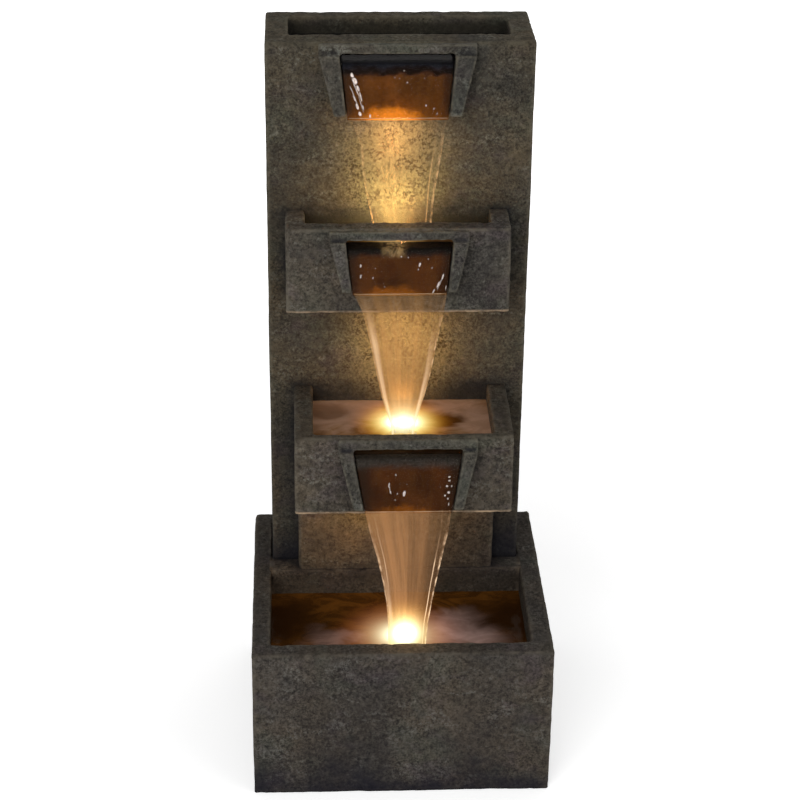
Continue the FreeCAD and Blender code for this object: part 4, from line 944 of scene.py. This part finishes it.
def make_froth(tier, seed):
    """A low mound of froth where the sheet lands."""
    landing = tier.landing
    wide = tier.outline[-1, 2] + 10 * MM
    deep = {"upper": 12 * MM, "middle": 20 * MM, "lower": 22 * MM}[tier.name]
    rings = 20
    around = 56
    points = [landing + Vector((0, 0, 4 * MM))]
    for j in range(1, rings + 1):
        share = j / rings
        for i in range(around):
            angle = 2 * math.pi * i / around
            edge = 1 + 0.12 * noise.noise(Vector((math.cos(angle) * 2, math.sin(angle) * 2, seed)))
            x = landing.x + wide * share * edge * math.cos(angle)
            y = landing.y + deep * share * edge * math.sin(angle)
            lump = noise.noise(Vector((x, y, seed)) / (5 * MM))
            height = (1 - share ** 2) * (3.4 * MM + 1.6 * MM * lump) - 1 * MM * share
            points.append((x, y, landing.z + height))
    points.append(landing - Vector((0, 0, 4 * MM)))
    water_piece("froth_" + tier.name, points, ring_faces(rings, around), froth(tier))


class Drops:
    """Small uneven drops gathered into one piece, each with its own strength of painted glint."""

    def __init__(self):
        self.points = []
        self.faces = []
        self.shine = []
        self.swell = []

    def drop(self, centre, radii, tilt, seed, shine, rings=8, around=12):
        """One more drop, leaned over by tilt in the chute's face. swell is how far each point stands
        forward or back."""
        start = len(self.points)
        for j in range(rings + 1):
            polar = math.pi * j / rings
            for i in range(1 if j in (0, rings) else around):
                angle = 2 * math.pi * i / around
                uneven = 1 + 0.3 * noise.noise(Vector((math.cos(angle) + seed, math.sin(angle), j * 0.7)))
                x = radii[0] * math.sin(polar) * math.cos(angle) * uneven
                y = radii[1] * math.sin(polar) * math.sin(angle)
                z = radii[2] * math.cos(polar) * uneven
                self.swell.append(abs(math.sin(polar) * math.sin(angle)))
                self.points.append((centre[0] + x * math.cos(tilt) + z * math.sin(tilt), centre[1] + y,
                    centre[2] + z * math.cos(tilt) - x * math.sin(tilt)))
        self.faces += ring_faces(rings - 1, around, start)
        self.shine += [shine] * (len(self.points) - start)

    def finish(self, name, material):
        piece = water_piece(name, self.points, self.faces, material)
        store(piece.data, shine=self.shine, swell=self.swell)


# Painted glints on each chute: across from its middle, height above the lip, half width and half length,
# all in millimetres, and lean in degrees
GLINTS = {
    "upper": [(-59, 53, 2.2, 3.6, -24), (-55.5, 46, 3, 5.4, -28), (-51.5, 37, 1.8, 5, -20),
        (-48, 27, 1.2, 7.5, -14), (-60, 36, 0.7, 6, -24), (-56, 25, 1.2, 5, -22),
        (-52.5, 15, 1.9, 5, -18), (-49, 6, 2.1, 3.4, -16), (-45, 14, 0.9, 4, -14),
        (-36, 3.5, 1.3, 3, 0), (8, 58, 1.2, 0.8, 0), (12, 44, 1, 1.1, 0), (-4, 50, 0.8, 0.9, 0),
        (2, 49, 0.7, 0.7, 0), (34, 49, 0.8, 1, 0), (36, 16, 1, 1.6, 10), (46, 12, 0.8, 1.8, 20),
        (50, 6, 0.7, 2, 24), (-53, 34, 0.8, 22, -22), (-55, 24, 0.7, 18, -20),
        (-47, 16, 0.6, 14, -16)],
    "middle": [(-51, 36, 1.3, 2.6, 0), (-51, 23, 1.2, 3, 10), (-35, 21, 0.8, 1.8, 20),
        (2, 47, 1.2, 0.9, 0), (11, 46, 1, 0.9, 0), (26, 37, 1.5, 3.6, 12), (24, 31, 0.9, 1.4, 0),
        (37, 44, 1, 0.8, 0), (42, 33, 0.7, 1.6, 30), (56, 22, 1.2, 5, 14),
        (50, 12, 1.2, 5.4, 22), (44, 4, 1, 4, 24), (-20, 10, 0.6, 1, 0),
        (-32, 33, 0.6, 0.8, 0), (60, 8, 0.7, 4, 6), (52, 13, 0.7, 13, 20)],
    "lower": [(-17, 48, 1, 2, -20), (-26, 35, 1.1, 4.4, 6), (-24, 26, 1, 3, -14),
        (-15, 24, 0.7, 1.4, 20), (-6, 24, 2, 4.6, 10), (-2, 36, 0.6, 0.8, 0),
        (-18, 16, 0.7, 1.4, 0), (54, 45, 1.9, 1, -24), (54, 40, 1.9, 1, -20),
        (51, 33, 1.8, 1.4, 0), (57, 33, 1, 1.8, 8), (53, 25, 2, 1.7, 10), (48, 21, 1.4, 1.8, 0),
        (52, 17, 1.2, 1.6, 10), (53, 10, 0.7, 3.2, 8), (42, 32, 0.6, 1, 0), (-25, 30, 0.6, 8, -4)],
}


def make_beads(tier, material, seed):
    """Glints and drops on the chute, most of them near its two sides."""
    depths, heights = zip(*chute_profile(tier, 2 * MM)[::-1])
    drops = Drops()
    for index, (side, rise, half, long, lean) in enumerate(GLINTS[tier.name]):
        z = tier.lip_z + rise * MM
        y = float(np.interp(z, heights, depths))
        drops.drop((tier.x + side * MM, y, z), (half * MM, half * MM * 0.6, long * MM), math.radians(lean),
            seed + index, min(1, half / 2.4))
    drops.finish("beads_" + tier.name, material)


def make_lip(tier, material, seed):
    """The rounded line of water that hangs along the lip."""
    count = 90
    around = 8
    points = []
    half = tier.half_lip - 1.5 * MM
    for i in range(count + 1):
        x = -half + 2 * half * i / count
        swell = 0.75 + 0.35 * noise.noise(Vector((x / (9 * MM), seed, 0)))
        swell *= math.sqrt(max(0.04, 1 - (2 * i / count - 1) ** 8))
        for j in range(around):
            angle = 2 * math.pi * j / around
            points.append((tier.x + x, tier.lip_y - 1.2 * MM + swell * MM * math.cos(angle),
                tier.lip_z + 0.4 * MM + swell * MM * 0.8 * math.sin(angle)))
    last = count * around
    faces = [tuple(range(around))[::-1], tuple(range(last, last + around))]
    for a in range(0, last, around):
        for j in range(around):
            k = (j + 1) % around
            faces.append((a + j, a + k, a + k + around, a + j + around))
    water_piece("lip_" + tier.name, points, faces, material)


def make_splash(tier, material, seed):
    """Small drops thrown up round the landing."""
    draw = random.Random(seed)
    landing = tier.landing
    drops = Drops()
    for index in range(16):
        angle = draw.uniform(0, 2 * math.pi)
        away = tier.outline[-1, 2] * draw.uniform(0.5, 1.25)
        size = draw.uniform(0.5, 1.2) * MM
        x = landing.x + away * math.cos(angle)
        y = min(landing.y + away * 0.5 * math.sin(angle), tier.target.y1 - 4 * MM)
        y = max(y, tier.target.y0 + 4 * MM)
        z = landing.z + draw.uniform(1.5, 9) * MM
        # The splash drops take the painted glints of the bead water
        drops.drop((x, y, z), (size, size, size * 1.2), 0, seed + index, 0.8)
    drops.finish("splash_" + tier.name, material)


def make_water():
    film = water_film()
    beads = bead_water()
    lip = lip_water()
    landings = {tier.target.name: tier.landing for tier in TIERS}
    for pool in POOLS.values():
        make_pool(pool, landings.get(pool.name))
    for index, tier in enumerate(TIERS):
        make_film(tier, film, 20 + index)
        make_sheet(tier, 30 + index)
        make_froth(tier, 40 + index)
        make_beads(tier, beads, 50 + index)
        make_lip(tier, lip, 60 + index)
        make_splash(tier, beads, 70 + index)


# Nodes that keep their shape

def dress_nodes():
    steel = brushed("stainless", (0.62, 0.62, 0.6), 0.28)
    black = moulded("black_plastic", (0.02, 0.02, 0.022), 0.42)
    cable = moulded("cable", (0.018, 0.018, 0.018), 0.5, 400)
    dressed = [
        (steel, "thumbscrew_left thumbscrew_right trough_screws hose_clamps bracket_screws"),
        (brushed("brass", (0.72, 0.5, 0.22), 0.3), "door_inserts"),
        (black, "pump_housing pump_chamber pump_strainer junction_box junction_lid"),
        (moulded("grey_plastic", (0.16, 0.165, 0.17), 0.45),
         "pump_outlet pump_flow_dial reservoir_fitting fitting_nut lead_clips"),
        (moulded("impeller_plastic", (0.62, 0.62, 0.58), 0.38), "pump_impeller"),
        (moulded("rubber", (0.016, 0.016, 0.016), 0.75, 500, 0.2), "door_gasket outlet_grommet pump_feet "
         "pump_gland fitting_seal light_seals lead_grommets junction_glands"),
        (moulded("hose", (0.045, 0.05, 0.045), 0.35, 300), "riser_hose"),
        (cable, "lead_pump"),
        (moulded("epoxy", (0.03, 0.028, 0.026), 0.2, 120, 0.2), "pump_potting"),
        (moulded("ferrite", (0.055, 0.055, 0.06), 0.5, 700, 0.3, metallic=0.4), "pump_rotor_magnet"),
        (moulded("ceramic", (0.8, 0.79, 0.75), 0.18, 200, 0.05, vary=0.04), "pump_shaft pump_bushes"),
        (moulded("door_panel", (0.03, 0.03, 0.03), 0.6, 420, 0.6, vary=0.2, shine=0.2), "rear_door"),
        (banded("laminations", (0.1, 0.1, 0.11), (0.32, 0.32, 0.34), 320, 0.3, "Z", 0.45, 0.8, 0.4, 0.2),
         "pump_stator_core"),
        (banded("copper_winding", (0.25, 0.07, 0.02), (0.75, 0.27, 0.1), 500, 0.4, "X", 0.3, 0.9, 0.6, 0.3),
         "pump_coils"),
        (board(), "light_boards"),
    ]
    lens = lamp_lens()
    for place in ("basin", "lower", "middle"):
        light = "light_" + place
        dressed += [(black, light + "_housing"), (lens, light + "_lens"), (steel, light + "_bracket"),
            (cable, "lead_" + light)]
    for material, names in dressed:
        for name in names.split():
            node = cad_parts[name]
            if not node.data.materials:
                node.data.materials.append(material)
            for slot in node.material_slots:
                slot.material = material


# Lamps, floor and camera

GOLD = (1, 0.64, 0.26)
EMBER = (1, 0.5, 0.17)
WASH = (1, 0.59, 0.24)


def add_lamp(name, kind, place, energy, colour, target=None, **settings):
    data = bpy.data.lights.new(name, kind)
    data.energy = energy
    data.color = colour
    for key, value in settings.items():
        setattr(data, key, value)
    lamp = add_object(name, data)
    lamp.location = place
    if target is not None:
        lamp.rotation_euler = (Vector(target) - lamp.location).to_track_quat("-Z", "Y").to_euler()


def add_area(name, place, target, size, energy, colour=WHITE):
    add_lamp(name, "AREA", place, energy, colour, target, shape="RECTANGLE", size=size[0], size_y=size[1])


def add_pool_lamp(node, beam, spread, fill):
    """The beam that a lit lens throws up its wall, and the light that it leaves in the water."""
    bottom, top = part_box(node)
    middle = (bottom + top) / 2
    place = Vector((middle.x, middle.y, top.z + 3 * MM))
    add_lamp("beam_" + node, "SPOT", place, beam, GOLD, place + Vector((0, 0.02, 1)),
        spot_size=math.radians(spread), spot_blend=1, shadow_soft_size=8 * MM)
    add_lamp("fill_" + node, "POINT", place + Vector((0, -10 * MM, 14 * MM)), fill, EMBER,
        shadow_soft_size=12 * MM)


def make_stage():
    size = 8
    mesh = bpy.data.meshes.new("floor")
    mesh.from_pydata([(-size, -size, 0), (size, -size, 0), (size, size, 0), (-size, size, 0)], [],
        [(0, 1, 2, 3)])
    floor = add_object("floor", mesh)
    s = Shader("floor")
    tone = s.mix(s.map(s.noise(3, 2), 0.3, 0.7), (0.8, 0.8, 0.8), (0.84, 0.84, 0.84))
    matt = s.node("BsdfDiffuse", {"Color": tone})
    seen = s.node("LightPath", {}, "Is Camera Ray")
    lift = s.emission(s.scaled(WHITE, s.times(seen, s.map(s.distance((0, 0, 0)), 0.5, 2.4, 0.5, 1))))
    mesh.materials.append(s.end(s.add(matt, lift)))


def make_world():
    """Plain light all round, and pure white wherever the backdrop itself is seen or mirrored."""
    world = bpy.data.worlds.new("world")
    bpy.context.scene.world = world
    s = Shader("world", world)
    seen = 0
    for ray in ("Camera", "Glossy", "Transmission"):
        seen = s.math("MAXIMUM", seen, s.node("LightPath", {}, "Is " + ray + " Ray"))
    plain, white = (s.node("Background", {"Color": WHITE, "Strength": strength}) for strength in (0.38, 1))
    s.end(s.blend(seen, plain, white), "World")


def make_camera():
    """The photograph's view: from above the front, turned a little to the right."""
    picture_width = 800
    focal_length = 2250
    yaw = math.radians(-2.76)
    pitch = math.radians(27.37)
    roll = math.radians(0.735)
    data = bpy.data.cameras.new("camera")
    data.sensor_width = 36
    data.sensor_fit = "HORIZONTAL"
    data.lens = 36 * focal_length / picture_width
    data.clip_end = 60
    camera = add_object("camera", data)
    turn = Euler((math.pi / 2 - pitch, 0, yaw)).to_matrix().to_4x4()
    place = Matrix.Translation((-0.1307, -2.7092, 1.9171))
    camera.matrix_world = place @ turn @ Matrix.Rotation(roll, 4, "Z")
    bpy.context.scene.camera = camera


def make_lighting():
    middle = (0, 0, 0.6)
    add_area("key", (-1.1, -2.5, 1.9), middle, (1.7, 1.7), 43)
    add_area("side", (2, -1.8, 1.7), middle, (1.6, 1.8), 16)
    add_area("top", (0, 0.4, 3.8), middle, (2.4, 2), 8)
    add_area("back", (0.6, 2.2, 3.4), middle, (2, 1.6), 16)
    add_pool_lamp("light_middle_lens", 0.9, 58, 0.3)
    add_pool_lamp("light_lower_lens", 1.2, 70, 0.45)
    add_pool_lamp("light_basin_lens", 1, 90, 0.55)
    for name, height, wide, tall, energy, colour in (
            ("wash_lip", 880, 36, 46, 0.13, (1, 0.62, 0.28)),
            ("wash_mid", 826, 36, 40, 0.045, (1, 0.62, 0.28)),
            ("wash_foot", 768, 34, 52, 0.175, (1, 0.88, 0.42)),
            ("wash_halo", 776, 84, 56, 0.15, (1, 0.56, 0.18))):
        add_area(name, (-12 * MM, tower_front - 44 * MM, height * MM), (-12 * MM, tower_front, height * MM),
            (wide * MM, tall * MM), energy, colour)
    add_area("wash_middle", (2 * MM, tower_front - 60 * MM, 590 * MM), (2 * MM, tower_front, 600 * MM),
        (60 * MM, 100 * MM), 0.27, WASH)
    add_area("wash_lower", (-20 * MM, -70 * MM, 300 * MM), (-34 * MM, 30 * MM, 340 * MM), (40 * MM, 60 * MM),
        0.17, WASH)
    for tier, up, energy in zip(TIERS, (50, 62, 60), (0.06, 0.05, 0.07)):
        add_lamp("glare_" + tier.name, "POINT", tier.landing + Vector((0, -12 * MM, up * MM)), energy, GOLD,
            shadow_soft_size=14 * MM)


make_castings()
make_water()
dress_nodes()
make_stage()
make_world()
make_camera()
make_lighting()
bpy.context.scene.view_settings.view_transform = "Standard"
